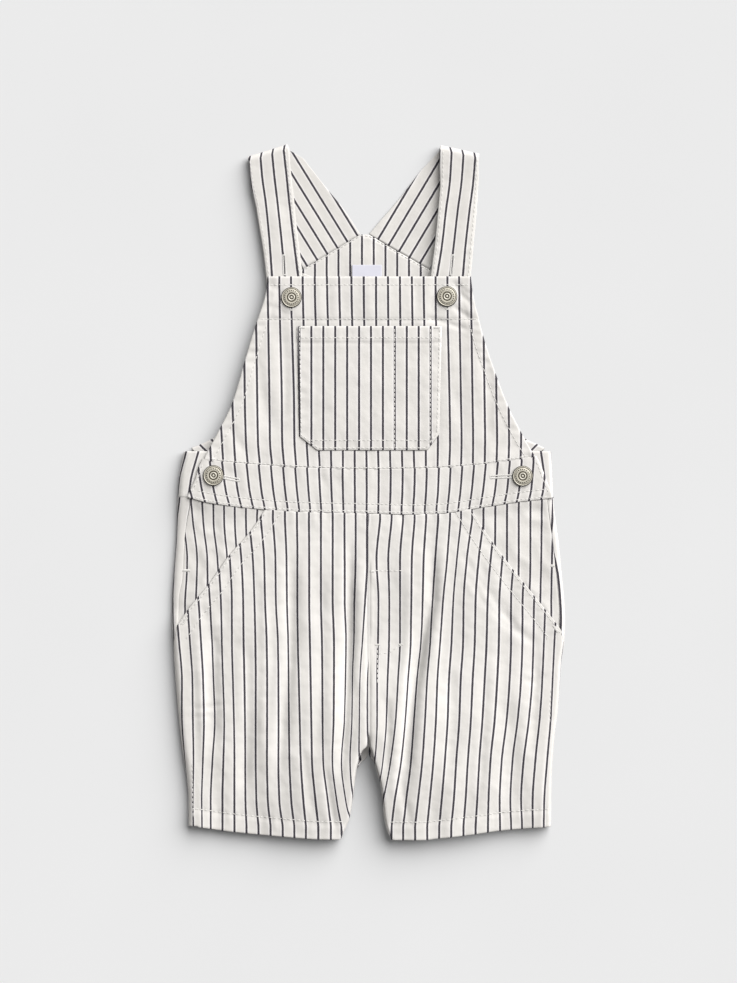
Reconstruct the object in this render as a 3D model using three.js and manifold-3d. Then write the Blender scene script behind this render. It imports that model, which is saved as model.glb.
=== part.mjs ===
// Baby shortalls laid flat, face up: the back lies on the surface, the front lies over it with some air between.
// Millimetres. X runs to the right, Y towards the shoulders, Z up; Z = 0 is the surface that the back rests on.
// Each panel is a thin wall on a grid of points worked out from the cut of the garment.
import * as THREE from 'three';
import Module from 'manifold-3d';

const wasm = await Module();
wasm.setup();

// Driving sizes
const CLOTH = 1.2; // wall of one layer of twill
const DOUBLED = 1.8; // waistband, turned bib top and hems
const SEAM = 0.3; // clearance between pieces at a seam
const FLOOR_MID = CLOTH / 2; // middle of the layer that lies on the surface
const TOP = 9.4; // middle of the front layer
const LAP = 1.6; // step down to a piece that lies under the front
const SIDE_ROLL = 4; // width of the roll at the outer sides
const INSEAM_ROLL = 4; // width of the roll along the inner legs
const POCKET_FACING_END = -91;
const POCKET_UNDERLAP = 9; // how far the pocket facing runs on under the slanted edge
const BACK_WAIST_Y = -4; // seam under the back waistband, straight across
const BACK_BAND = 32; // width of the back waistband
const TAB_END = 93; // how far from the middle the back waistband's ends reach under the front
const HEM_DEPTH = 10; // turned-up hem of the legs
const FRONT_CROTCH_Y = -177.4;
const BACK_CROTCH_Y = -186;
const LEG_SWELL = 1.2; // how much the air lifts the middle of each leg
const STRAP_LEVEL = 7.6; // middle of the strap where it comes down over the front
const LABEL_CLOTH = 1;
const BUTTON_RADIUS = 7.2;
const SHANK_RADIUS = 2;
const HOLE_RADIUS = SHANK_RADIUS + SEAM + 0.1;

// A table with named columns: rows of numbers become one list for each name
function table(names, rows) {
  const columns = {};
  names.split(' ').forEach((name, k) => { columns[name] = rows.map((row) => row[k]); });
  return columns;
}

// Outer outline of the garment, and how far in from it the side seam shows, at each height
const OUTLINE = table('y left right leftSeam rightSeam', [
  [34, -129.0, 127.6, 8.4, 4],
  [28, -129.8, 128.2, 8.4, 4],
  [8, -133.3, 129.2, 8.4, 4],
  [-6, -134.0, 129.8, 8.4, 4],
  [-20, -134.6, 131.4, 6.6, 4],
  [-34, -135.1, 133.4, 5.4, 4],
  [-60, -137.0, 136.0, 6.0, 4],
  [-76, -137.9, 137.5, 4.2, 4],
  [-90, -137.9, 138.2, 4.0, 4],
  [-98, -137.6, 137.9, 2.4, 3],
  [-106, -137.2, 137.4, 0.5, 0.6],
  [-120, -136.4, 135.3, 0, 0],
  [-146, -134.4, 133.7, 0, 0],
  [-174, -131.6, 130.5, 0, 0],
  [-202, -127.6, 128.6, 0, 0],
  [-216, -126.4, 128.4, 0, 0],
  [-246, -126.6, 128.0, 0, 0],
]);

// Inner edge of each leg, front and back
const INSEAM = table('y frontLeft frontRight backLeft backRight', [
  [-170, 0, 0, 0, 0],
  [-177, 0, 0, 0, 0],
  [-181, -3.4, 1.2, 0, 0],
  [-186, -5.8, 2.6, -0.6, 0.6],
  [-190, -6.8, 3.8, -5.0, 3.4],
  [-195, -8.0, 5.2, -8.0, 5.2],
  [-205.5, -9.4, 8.0, -9.4, 8.0],
  [-217, -10.9, 9.5, -10.9, 9.5],
  [-228.5, -12.9, 10.7, -12.9, 10.7],
  [-236, -15.8, 12.4, -15.8, 12.4],
  [-246, -20.2, 16.4, -20.2, 16.4],
]);

// Seam under the waistband, seam above it, and the hems, across the garment
const WAIST_BOTTOM = table('x y', [
  [-134, -2], [-127, -3.9], [-113, -7.7], [-81.5, -11.9], [-47.9, -14.3], [0, -15.4],
  [32.5, -16.2], [50, -15.5], [78, -11.5], [105.3, -7.3], [129.2, -4.5], [136, -3.4],
]);
const WAIST_TOP = table('x y', [
  [-130, 24.6], [-117.9, 23.1], [-101.8, 21], [-77.3, 18.8], [-33.9, 16.4], [1, 15.7],
  [43, 16.4], [73.8, 18.5], [99, 22], [117.9, 24.8], [130, 26.4],
]);
const HEM = table('x y', [
  [-140, -233.4], [-126.3, -234.1], [-96.9, -238], [-54.9, -241.8], [-33.9, -243.2], [-15, -243.4],
  [15, -243.7], [36, -243.7], [50, -242.5], [71, -240.1], [92, -237.3], [113, -235.5], [140, -234],
]);

// Slanted pocket edges, from the waist seam out to the side seam
const SLANT = table('y left right', [
  [-5, -68.0, 67.5], [-13, -72.7, 72.4], [-28.3, -82.9, 82.0], [-45, -97.6, 93.8],
  [-64, -111.0, 108.6], [-82.5, -126.0, 123.6], [-92.8, -133.0, 131.6], [-98.3, -137, 135.4],
]);

// Ends of the bib and of the front waistband
const BIB_EDGE = table('y left right', [
  [150.4, -70.4, 71.4], [138.9, -71.8, 72.8], [121.4, -77.3, 77.0], [107.4, -82.0, 80.8],
  [91.3, -86.8, 86.2], [63, -95.6, 97.0], [46.5, -103.8, 105.2], [36, -109.5, 111.0],
  [26.9, -114.4, 116.4], [17.8, -118.6, 120.7], [8.5, -121.4, 124.1], [2, -124.4, 126.8],
  [-3.9, -127.0, 129.0], [-8, -128.8, 130.6],
]);
const BIB_TOP_Y = 150.3;
const BIB_BAND_Y = 121.2;

// Patch pocket on the bib: sides, cut corners and bottom
const POCKET = { top: 115.5, topLeft: -49.7, topRight: 51.1, cornerLeft: [-48.3, 38.8], cornerRight: [49.3, 40.2],
  bottomLeft: [-36, 29], bottomRight: [40.9, 29], hem: 10.8 };

// Armhole edge of the back, and the V seam at its top
const ARMHOLE = table('y left right', [
  [29.6, -127.7, 126.4], [33, -118.6, 119.3], [37, -110.2, 110.6], [41.5, -102.2, 102.2],
  [55.6, -87.8, 86.8], [79.4, -74.5, 72.8], [109.5, -61.9, 59.8], [134, -53.5, 51.2], [156.4, -45.8, 43.0],
]);
const V_SEAM = table('x y', [[-45.8, 156.4], [-5.9, 180.6], [0.3, 180.6], [43, 155.8]]);
const FACING_WIDTH = 11;

// Strap edges: from the V seam up the back, then from the shoulder fold down the front
const STRAPS = {
  left: {
    back: table('inX inY outX outY', [
      [-5.9, 181.0, -45.9, 156.9], [-16.4, 197.0, -54.9, 175.3], [-31.1, 215.2, -66.5, 199.0],
      [-45.8, 234.1, -78.5, 223.0],
    ]),
    fold: { inner: [-57.0, 243.9], outer: [-84.7, 235.2] },
    front: table('inX inY outX outY', [
      [-54.6, 223.6, -82.2, 214.5], [-52.5, 205.4, -78.8, 200.5], [-50.8, 187.9, -75.9, 183.0],
      [-48.3, 167.6, -73.1, 165.5], [-46.5, 150.1, -71.3, 149.0], [-45.1, 127.0, -69.6, 127.0],
    ]),
  },
  right: {
    back: table('inX inY outX outY', [
      [0.5, 181.0, 43.3, 156.3], [8.0, 190.0, 51.4, 176.0], [22.0, 206.1, 60.5, 197.0],
      [36.8, 225.6, 68.9, 217.3],
    ]),
    fold: { inner: [50.8, 243.2], outer: [77.7, 237.3] },
    front: table('inX inY outX outY', [
      [50.4, 214.5, 77.0, 218.0], [48.6, 193.5, 75.6, 196.0], [46.5, 172.5, 73.6, 174.5],
      [44.6, 158.0, 72.2, 158.5], [43.6, 150.1, 71.4, 150.1], [41.6, 127.0, 69.6, 127.0],
    ]),
  },
};

// Buttons: centre, and the far end of the slit that they pass through
const BUTTONS = [
  { name: 'button_bib_left', x: -53.9, y: 135.8, seat: TOP + DOUBLED / 2, foot: STRAP_LEVEL + CLOTH / 2 },
  { name: 'button_bib_right', x: 54.9, y: 136.5, seat: TOP + DOUBLED / 2, foot: STRAP_LEVEL + CLOTH / 2 },
  { name: 'button_waist_left', x: -108.5, y: 11.2, seat: TOP + SEAM + DOUBLED / 2, foot: TOP - LAP + CLOTH / 2 },
  { name: 'button_waist_right', x: 107.8, y: 10.8, seat: TOP + SEAM + DOUBLED / 2, foot: TOP - LAP + CLOTH / 2 },
];
const SLITS = [
  { panel: 'bib', from: BUTTONS[0], toX: -53.9, toY: 130.6 },
  { panel: 'bib', from: BUTTONS[1], toX: 54.9, toY: 131.3 },
  { panel: 'waist', from: BUTTONS[2], toX: -91.3, toY: 8.0 },
  { panel: 'waist', from: BUTTONS[3], toX: 85.0, toY: 10.1 },
];
const SLIT_WIDTH = 0.9;

// Long soft folds of the legs: each follows a route, as wide and deep as it says
const FOLDS = [
  { width: 6, depth: 1.9, route: [[45, -24], [44.4, -76], [37.4, -104], [31.1, -139], [26.2, -188], [22, -222]] },
  { width: 5, depth: 1.3, route: [[-12.9, -48], [-13.6, -104], [-16.4, -160], [-20, -212]] },
  { width: 7, depth: 1.0, route: [[-53.5, -30], [-54.2, -104], [-58, -146], [-66, -200]] },
  { width: 7, depth: 1.0, route: [[-108.8, -100], [-109.5, -132], [-107, -176]] },
  { width: 6, depth: 0.8, route: [[56.7, -142], [58, -192]] },
  { width: 7, depth: 0.9, route: [[97, -150], [101, -190]] },
];

const smooth = (from, to, value) => THREE.MathUtils.smoothstep(value, from, to);
const lerp = THREE.MathUtils.lerp;
const clamp = THREE.MathUtils.clamp;

// Reads a column of a table at a place between its rows, on a smooth curve that doesn't overshoot
function read(columns, from, to, at) {
  const flip = columns[from][0] > columns[from].at(-1) ? -1 : 1;
  const xs = columns[from].map((value) => value * flip);
  const ys = columns[to];
  const x = clamp(at * flip, xs[0], xs.at(-1));
  let k = 0;
  while (k < xs.length - 2 && x > xs[k + 1]) k += 1;
  const slope = (i) => (ys[i + 1] - ys[i]) / (xs[i + 1] - xs[i]);
  const tangent = (i) => {
    if (i === 0) return slope(0);
    if (i === xs.length - 1) return slope(i - 1);
    const [a, b] = [slope(i - 1), slope(i)];
    return a * b <= 0 ? 0 : (2 * a * b) / (a + b);
  };
  const width = xs[k + 1] - xs[k];
  const t = (x - xs[k]) / width;
  return (1 + 2 * t) * (1 - t) ** 2 * ys[k] + t * (1 - t) ** 2 * width * tangent(k)
    + t * t * (3 - 2 * t) * ys[k + 1] + t * t * (t - 1) * width * tangent(k + 1);
}

const column = (side, left, right) => (side < 0 ? left : right);
const outline = (side, y) => read(OUTLINE, 'y', column(side, 'left', 'right'), y) - (side * CLOTH) / 2;
const seamInset = (side, y) => read(OUTLINE, 'y', column(side, 'leftSeam', 'rightSeam'), y);
const slant = (side, y) => read(SLANT, 'y', column(side, 'left', 'right'), y);
const bibEdge = (side, y) => read(BIB_EDGE, 'y', column(side, 'left', 'right'), y);

// Distance from a point to a route, and how far along it the nearest place is, from 0 to 1
function alongRoute(route, x, y) {
  let best = { distance: Infinity, share: 0 };
  for (let k = 0; k < route.length - 1; k += 1) {
    const [[ax, ay], [bx, by]] = [route[k], route[k + 1]];
    const length = (bx - ax) ** 2 + (by - ay) ** 2;
    const t = clamp(((x - ax) * (bx - ax) + (y - ay) * (by - ay)) / length, 0, 1);
    const distance = Math.hypot(x - lerp(ax, bx, t), y - lerp(ay, by, t));
    if (distance < best.distance) best = { distance, share: (k + t) / (route.length - 1) };
  }
  return best;
}

// Height of the folds at a place on the front of the legs
function folds(x, y) {
  return FOLDS.reduce((height, fold) => {
    const near = alongRoute(fold.route, x, y);
    const fade = smooth(0, 0.12, near.share) * (1 - smooth(0.85, 1, near.share));
    return height - fold.depth * fade * Math.exp(-((near.distance / fold.width) ** 2));
  }, 0);
}

// Closed solid of a wall: the grid's points moved out by its upper and lower share of the thickness
function wallGeometry(grid, facing, above, below) {
  const rows = grid.length;
  const cols = grid[0].length;
  const positions = [];
  const offset = (i, j) => {
    const du = grid[i][Math.min(j + 1, cols - 1)].clone().sub(grid[i][Math.max(j - 1, 0)]);
    const dv = grid[Math.min(i + 1, rows - 1)][j].clone().sub(grid[Math.max(i - 1, 0)][j]);
    return dv.cross(du).normalize().multiplyScalar(facing);
  };
  for (const sign of [1, -1]) {
    for (let i = 0; i < rows; i += 1) {
      for (let j = 0; j < cols; j += 1) {
        const reach = sign > 0 ? above(i, j) : -below(i, j);
        positions.push(...grid[i][j].clone().addScaledVector(offset(i, j), reach).toArray());
      }
    }
  }
  const triangles = [];
  const at = (layer, i, j) => layer * rows * cols + i * cols + j;
  const quad = (a, b, c, d) => triangles.push(a, b, c, a, c, d);
  for (let i = 0; i < rows - 1; i += 1) {
    for (let j = 0; j < cols - 1; j += 1) {
      quad(at(0, i, j), at(0, i + 1, j), at(0, i + 1, j + 1), at(0, i, j + 1));
      quad(at(1, i, j), at(1, i, j + 1), at(1, i + 1, j + 1), at(1, i + 1, j));
    }
  }
  const rim = [];
  for (let j = 0; j < cols - 1; j += 1) rim.push([0, j]);
  for (let i = 0; i < rows - 1; i += 1) rim.push([i, cols - 1]);
  for (let j = cols - 1; j > 0; j -= 1) rim.push([rows - 1, j]);
  for (let i = rows - 1; i > 0; i -= 1) rim.push([i, 0]);
  rim.forEach(([i, j], k) => {
    const [ni, nj] = rim[(k + 1) % rim.length];
    quad(at(0, i, j), at(0, ni, nj), at(1, ni, nj), at(1, i, j));
  });
  if (facing < 0) {
    for (let k = 0; k < triangles.length; k += 3) {
      [triangles[k + 1], triangles[k + 2]] = [triangles[k + 2], triangles[k + 1]];
    }
  }
  const geometry = new THREE.BufferGeometry();
  geometry.setAttribute('position', new THREE.Float32BufferAttribute(positions, 3));
  geometry.setIndex(triangles);
  return geometry;
}

const evenly = (value) => () => value / 2;

// Takes a closed geometry to a solid and back
function toSolid(geometry) {
  const vertProperties = new Float32Array(geometry.getAttribute('position').array);
  const triVerts = new Uint32Array(geometry.getIndex().array);
  return new wasm.Manifold(new wasm.Mesh({ numProp: 3, vertProperties, triVerts }));
}

function fromSolid(solid) {
  const { vertProperties, triVerts } = solid.getMesh();
  const geometry = new THREE.BufferGeometry();
  geometry.setAttribute('position', new THREE.Float32BufferAttribute(vertProperties, 3));
  geometry.setIndex(new THREE.Uint32BufferAttribute(triVerts, 1));
  return geometry;
}

// Slit through a panel, as one outline: round where the shank stands, narrow to its far end
function slitCutter({ from, toX, toY }) {
  const reach = Math.hypot(toX - from.x, toY - from.y);
  const mouth = Math.asin(SLIT_WIDTH / 2 / HOLE_RADIUS);
  const steps = 10;
  const outlinePoints = [new THREE.Vector2(reach, -SLIT_WIDTH / 2), new THREE.Vector2(reach, SLIT_WIDTH / 2)];
  for (let k = 0; k <= steps; k += 1) {
    const turn = lerp(mouth, 2 * Math.PI - mouth, k / steps);
    outlinePoints.push(new THREE.Vector2(HOLE_RADIUS * Math.cos(turn), HOLE_RADIUS * Math.sin(turn)));
  }
  const depth = 6;
  const cutter = new THREE.ExtrudeGeometry(new THREE.Shape(outlinePoints), { depth, bevelEnabled: false });
  cutter.rotateZ(Math.atan2(toY - from.y, toX - from.x));
  cutter.translate(from.x, from.y, TOP - depth / 2);
  return toSolid(shareVertices(cutter));
}

// Joins the vertices that lie in one place, so that a geometry closes
function shareVertices(geometry) {
  const places = new Map();
  const source = geometry.getAttribute('position');
  const positions = [];
  const triangles = [];
  for (let k = 0; k < source.count; k += 1) {
    const point = new THREE.Vector3().fromBufferAttribute(source, geometry.index ? geometry.index.getX(k) : k);
    const key = point.toArray().map((value) => value.toFixed(4)).join(' ');
    if (!places.has(key)) {
      places.set(key, positions.length / 3);
      positions.push(...point.toArray());
    }
    triangles.push(places.get(key));
  }
  const joined = new THREE.BufferGeometry();
  joined.setAttribute('position', new THREE.Float32BufferAttribute(positions, 3));
  joined.setIndex(triangles);
  return joined;
}

const COTTON = { color: 0xe6e2dc, roughness: 0.9, metalness: 0 };
const LABEL_SATIN = { color: 0xf0eff4, roughness: 0.6, metalness: 0 };
const PEWTER = { color: 0x9c9784, roughness: 0.4, metalness: 0.9 };

const shortalls = new THREE.Group();

function addPiece(name, geometry, finish) {
  geometry.computeVertexNormals();
  const mesh = new THREE.Mesh(geometry, new THREE.MeshStandardMaterial(finish));
  mesh.name = name;
  shortalls.add(mesh);
}

// Patch between four edges, each a function of its share from 0 to 1, with a height for each place
function patch(edges, across, down, height) {
  const { top, bottom, left, right } = edges;
  return down.map((v) => across.map((u) => {
    const value = (k) => (1 - v) * top(u)[k] + v * bottom(u)[k] + (1 - u) * left(v)[k] + u * right(v)[k]
      - (1 - u) * (1 - v) * top(0)[k] - u * (1 - v) * top(1)[k] - (1 - u) * v * bottom(0)[k] - u * v * bottom(1)[k];
    const [x, y] = [value(0), value(1)];
    return new THREE.Vector3(x, y, height(x, y));
  }));
}

const shares = (count) => Array.from({ length: count + 1 }, (_, k) => k / count);

// Height of the back's sewn layer where the outer side rolls up from the surface to the front
function sideRoll(top) {
  const rise = (top - FLOOR_MID) / 2;
  const meanRadius = (SIDE_ROLL + rise) / 2;
  return { rise, meanRadius, length: Math.PI * meanRadius };
}

// Point on the rolled side, a distance along the cloth from where it leaves the surface
function onSide(side, y, along, top) {
  const roll = sideRoll(top);
  const edge = outline(side, y);
  if (along >= roll.length) {
    return new THREE.Vector3(edge - side * (SIDE_ROLL + along - roll.length), y, top);
  }
  const turn = along / roll.meanRadius - Math.PI / 2;
  const inward = SIDE_ROLL * (1 - Math.cos(turn));
  return new THREE.Vector3(edge - side * inward, y, FLOOR_MID + roll.rise * (1 + Math.sin(turn)));
}

// Where the side seam lies on that roll
function seamAlong(side, y, top) {
  const roll = sideRoll(top);
  const inset = seamInset(side, y);
  if (inset >= SIDE_ROLL) return roll.length + inset - SIDE_ROLL;
  return (Math.acos(1 - inset / SIDE_ROLL) + Math.PI / 2) * roll.meanRadius;
}

// Rows of the legs from the waist seam to the hem; the first and last follow those seams
const LEG_ROWS = [-15, -22, -32, -45, -58, -70, -82, -92.8, -100, -108, -125, -145, -163, -172, -178, -184, -190,
  -204, -217, HEM_DEPTH - 240, -240];
const HEM_ROW = LEG_ROWS.length - 2;
const WAIST_FADE_END = -62;
const HEM_FADE_START = -190;

function legRowY(nominal, x, waistY = read(WAIST_BOTTOM, 'x', 'y', x)) {
  const nearWaist = clamp((nominal - WAIST_FADE_END) / (LEG_ROWS[0] - WAIST_FADE_END), 0, 1);
  const nearHem = clamp((nominal - HEM_FADE_START) / (LEG_ROWS.at(-1) - HEM_FADE_START), 0, 1);
  const waistShift = waistY - SEAM / 2 - LEG_ROWS[0];
  const hemShift = read(HEM, 'x', 'y', x) - LEG_ROWS.at(-1);
  return nominal + waistShift * nearWaist + hemShift * nearHem;
}

// How far the inner edge has turned from a flat centre seam, 0, to the rolled inseam, 1
const turnedInner = (y, crotchY) => 1 - smooth(crotchY - 6, crotchY + 10, y);

function innerEdge(side, y, face, turned) {
  const name = face + column(side, 'Left', 'Right');
  return read(INSEAM, 'y', name, y) + side * (SEAM / 2 + (CLOTH / 2) * Math.min(1, turned * 4));
}

const INNER_STEPS = 4;
const INSEAM_RISE = (TOP - FLOOR_MID) / 2;
const SEAM_TURN = SEAM / 2 / INSEAM_RISE;

// Middle of each leg is lifted by the air inside it
function swell(x, y, from, to) {
  const across = clamp((x - from) / (to - from), 0, 1);
  return LEG_SWELL * Math.sin(Math.PI * across) * (1 - smooth(-70, -14, y));
}

// Where the back's side roll drops by one layer beside the pocket facing
const wrapTop = (y) => TOP - LAP * smooth(-97, -82, y);

function backLegRow(side, nominal) {
  const innerY = legRowY(nominal, innerEdge(side, nominal, 'back', 1), BACK_WAIST_Y);
  const outerY = legRowY(nominal, outline(side, nominal), BACK_WAIST_Y);
  const turned = turnedInner(innerY, BACK_CROTCH_Y);
  const innerX = innerEdge(side, innerY, 'back', turned);
  const points = [];
  for (let k = 0; k < INNER_STEPS; k += 1) {
    const turn = -lerp(SEAM_TURN, Math.PI / 2, k / INNER_STEPS);
    const x = innerX + side * INSEAM_ROLL * (1 - Math.cos(turn));
    points.push(new THREE.Vector3(x, innerY, FLOOR_MID + turned * INSEAM_RISE * (1 + Math.sin(turn))));
  }
  const flatFrom = innerX + side * INSEAM_ROLL;
  const flatTo = onSide(side, outerY, 0, TOP).x;
  for (const share of shares(4).slice(0, -1)) {
    const x = lerp(flatFrom, flatTo, share);
    points.push(new THREE.Vector3(x, legRowY(nominal, x, BACK_WAIST_Y), FLOOR_MID));
  }
  const top = wrapTop(outerY);
  const seam = seamAlong(side, outerY, top) - SEAM / 2;
  for (const share of shares(7)) points.push(onSide(side, outerY, seam * share, top));
  return points;
}

function frontLegRow(side, nominal) {
  const slantEnd = side < 0 ? -92.8 : -98.3;
  const onSlant = nominal >= slantEnd;
  const edgeX = onSlant ? slant(side, nominal) : outline(side, nominal);
  const outerY = legRowY(nominal, edgeX);
  const innerY = legRowY(nominal, innerEdge(side, nominal, 'front', 1));
  const turned = turnedInner(innerY, FRONT_CROTCH_Y);
  const innerX = innerEdge(side, innerY, 'front', turned);
  const points = [];
  const rollLength = sideRoll(TOP).length;
  const start = onSlant ? 0 : seamAlong(side, outerY, TOP) + SEAM / 2;
  const reach = onSlant ? 7 : rollLength + 2 - start;
  for (const share of shares(4).slice(0, -1)) {
    const along = start + reach * share;
    const x = slant(side, outerY) - side * along;
    points.push(onSlant ? new THREE.Vector3(x, legRowY(nominal, x), TOP) : onSide(side, outerY, along, TOP));
  }
  const flatFrom = onSlant ? slant(side, outerY) - side * reach : onSide(side, outerY, start + reach, TOP).x;
  const flatTo = innerX + side * INSEAM_ROLL;
  for (const share of shares(8)) {
    const x = lerp(flatFrom, flatTo, share);
    const y = legRowY(nominal, x);
    const edgeFade = smooth(0, 0.1, share) * (1 - smooth(0.92, 1, share) * turned);
    const relief = nominal === LEG_ROWS[0] ? 0 : folds(x, y) * edgeFade * (1 - smooth(-30, -14, y));
    points.push(new THREE.Vector3(x, y, TOP + relief + swell(x, y, flatFrom, flatTo) * edgeFade));
  }
  for (let k = 1; k <= INNER_STEPS; k += 1) {
    const turn = lerp(Math.PI / 2, SEAM_TURN, k / INNER_STEPS);
    const x = innerX + side * INSEAM_ROLL * (1 - Math.cos(turn));
    points.push(new THREE.Vector3(x, innerY, TOP - turned * INSEAM_RISE * (1 - Math.sin(turn))));
  }
  return points;
}

const hemmed = (i) => (i >= HEM_ROW ? DOUBLED / 2 : CLOTH / 2);

function legs(side) {
  const name = column(side, 'left', 'right');
  const front = wallGeometry(LEG_ROWS.map((nominal) => frontLegRow(side, nominal)), -side, hemmed, evenly(CLOTH));
  const back = wallGeometry(LEG_ROWS.map((nominal) => backLegRow(side, nominal)), side, hemmed, evenly(CLOTH));
  addPiece(`front_leg_${name}`, front, COTTON);
  addPiece(`back_leg_${name}`, back, COTTON);
}

// Corner of cloth inside the slanted pocket, a layer lower than the front
function pocketFacing(side) {
  const heights = [...LEG_ROWS.filter((nominal) => nominal >= -82), POCKET_FACING_END];
  const grid = heights.map((nominal) => {
    const y = legRowY(nominal, outline(side, nominal));
    const seam = onSide(side, y, seamAlong(side, y, TOP - LAP) + SEAM / 2, TOP - LAP);
    const inner = slant(side, nominal) - side * POCKET_UNDERLAP;
    return shares(5).map((share) => {
      const x = lerp(seam.x, inner, share);
      return new THREE.Vector3(x, legRowY(nominal, x), lerp(seam.z, TOP - LAP, Math.min(1, share * 2)));
    });
  });
  addPiece(`pocket_facing_${column(side, 'left', 'right')}`, wallGeometry(grid, -side, evenly(CLOTH), evenly(CLOTH)), COTTON);
}

// Cuts the button slits of one panel
function withSlits(geometry, panel) {
  const cut = SLITS.filter((slit) => slit.panel === panel)
    .reduce((solid, slit) => solid.subtract(slitCutter(slit)), toSolid(geometry));
  return fromSolid(cut);
}

function waistbandFront() {
  const ends = (side) => (v) => {
    const y = lerp(read(WAIST_TOP, 'x', 'y', side * 119), read(WAIST_BOTTOM, 'x', 'y', side * 128), v);
    return [bibEdge(side, y), y];
  };
  const [left, right] = [ends(-1), ends(1)];
  const seam = (columns, v, shift) => (u) => {
    const x = lerp(left(v)[0], right(v)[0], u);
    return [x, read(columns, 'x', 'y', x) + shift];
  };
  const edges = { left, right, top: seam(WAIST_TOP, 0, -SEAM / 2), bottom: seam(WAIST_BOTTOM, 1, SEAM / 2) };
  edges.left = (v) => [left(v)[0], lerp(edges.top(0)[1], edges.bottom(0)[1], v)];
  edges.right = (v) => [right(v)[0], lerp(edges.top(1)[1], edges.bottom(1)[1], v)];
  const grid = patch(edges, shares(26), shares(3), () => TOP + SEAM);
  addPiece('waistband_front', withSlits(wallGeometry(grid, 1, evenly(DOUBLED), evenly(DOUBLED)), 'waist'), COTTON);
}

// Back waistband: under the front at the left, round both sides and under the front at the right
function waistbandBack() {
  const top = TOP - LAP;
  const rollLength = sideRoll(top).length;
  const grid = shares(3).map((v) => {
    const y = BACK_WAIST_Y + lerp(BACK_BAND - SEAM / 2, SEAM / 2, v);
    const half = (side) => {
      const tabLength = Math.abs(outline(side, y)) - SIDE_ROLL - TAB_END;
      const tab = shares(4).map((share) => onSide(side, y, rollLength + tabLength * (1 - share), top));
      const roll = shares(8).slice(1).map((share) => onSide(side, y, rollLength * (1 - share), top));
      return [...tab, ...roll];
    };
    const [left, right] = [half(-1), half(1)];
    const middle = shares(6).slice(1, -1)
      .map((share) => new THREE.Vector3(lerp(left.at(-1).x, right.at(-1).x, share), y, FLOOR_MID));
    return [...left, ...middle, ...right.reverse()];
  });
  addPiece('waistband_back', wallGeometry(grid, 1, evenly(CLOTH), evenly(CLOTH)), COTTON);
}

function bib() {
  const bottomY = (side) => read(WAIST_TOP, 'x', 'y', side * 119);
  const end = (side) => (v) => {
    const y = lerp(BIB_TOP_Y, bottomY(side), v);
    return [bibEdge(side, y), y];
  };
  const [left, right] = [end(-1), end(1)];
  const top = (u) => [lerp(left(0)[0], right(0)[0], u), BIB_TOP_Y];
  const bottom = (u) => {
    const x = lerp(left(1)[0], right(1)[0], u);
    return [x, read(WAIST_TOP, 'x', 'y', x) + SEAM / 2];
  };
  const edges = {
    top,
    bottom,
    left: (v) => [left(v)[0], lerp(BIB_TOP_Y, bottom(0)[1], v)],
    right: (v) => [right(v)[0], lerp(BIB_TOP_Y, bottom(1)[1], v)],
  };
  const band = (BIB_TOP_Y - BIB_BAND_Y) / (BIB_TOP_Y - bottomY(1));
  const down = [0, 0.06, 0.12, 0.18, band, band + 0.01, 0.35, 0.46, 0.57, 0.68, 0.79, 0.9, 1];
  const grid = patch(edges, shares(14), down, () => TOP);
  const thickness = (i) => (down[i] <= band ? DOUBLED / 2 : CLOTH / 2);
  addPiece('bib_front', withSlits(wallGeometry(grid, 1, thickness, thickness), 'bib'), COTTON);
}

function bibPocket() {
  const corner = 0.84;
  const bent = (start, middle, end) => (v) => (v <= corner
    ? [lerp(start[0], middle[0], v / corner), lerp(start[1], middle[1], v / corner)]
    : [lerp(middle[0], end[0], (v - corner) / (1 - corner)), lerp(middle[1], end[1], (v - corner) / (1 - corner))]);
  const left = bent([POCKET.topLeft, POCKET.top], POCKET.cornerLeft, POCKET.bottomLeft);
  const right = bent([POCKET.topRight, POCKET.top], POCKET.cornerRight, POCKET.bottomRight);
  const straight = (a, b) => (u) => [lerp(a[0], b[0], u), lerp(a[1], b[1], u)];
  const edges = { left, right, top: straight(left(0), right(0)), bottom: straight(left(1), right(1)) };
  const hem = POCKET.hem / (POCKET.top - POCKET.bottomLeft[1]);
  const down = [0, hem, hem + 0.01, 0.3, 0.48, 0.66, corner, 1];
  const level = TOP + CLOTH + SEAM;
  const bulge = (x, y) => 0.5 * Math.cos((Math.PI * x) / 110) * smooth(29, 60, y) * (1 - smooth(90, 118, y));
  const grid = patch(edges, shares(8), down, (x, y) => level + Math.max(0, bulge(x, y)));
  const above = (i) => (down[i] <= hem ? DOUBLED - CLOTH / 2 : CLOTH / 2);
  addPiece('bib_pocket', wallGeometry(grid, 1, above, evenly(CLOTH)), COTTON);
}

// The back's corner starts to rise where the side rolls up
function backLevel(side, x, y) {
  const inward = Math.abs(outline(side, y) - x);
  if (inward >= SIDE_ROLL) return FLOOR_MID;
  const rise = sideRoll(TOP - LAP).rise;
  return FLOOR_MID + rise * (1 - Math.sqrt(1 - (1 - inward / SIDE_ROLL) ** 2));
}

const BACK_BAND_TOP = BACK_WAIST_Y + BACK_BAND;
// The V seam is straight on each side of its flat tip
function vSeam(across) {
  const x = clamp(across, V_SEAM.x[0], V_SEAM.x.at(-1));
  const k = Math.max(V_SEAM.x.findIndex((place) => place >= x) - 1, 0);
  return lerp(V_SEAM.y[k], V_SEAM.y[k + 1], (x - V_SEAM.x[k]) / (V_SEAM.x[k + 1] - V_SEAM.x[k]));
}

const armhole = (side, y) => read(ARMHOLE, 'y', column(side, 'left', 'right'), y);

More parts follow.
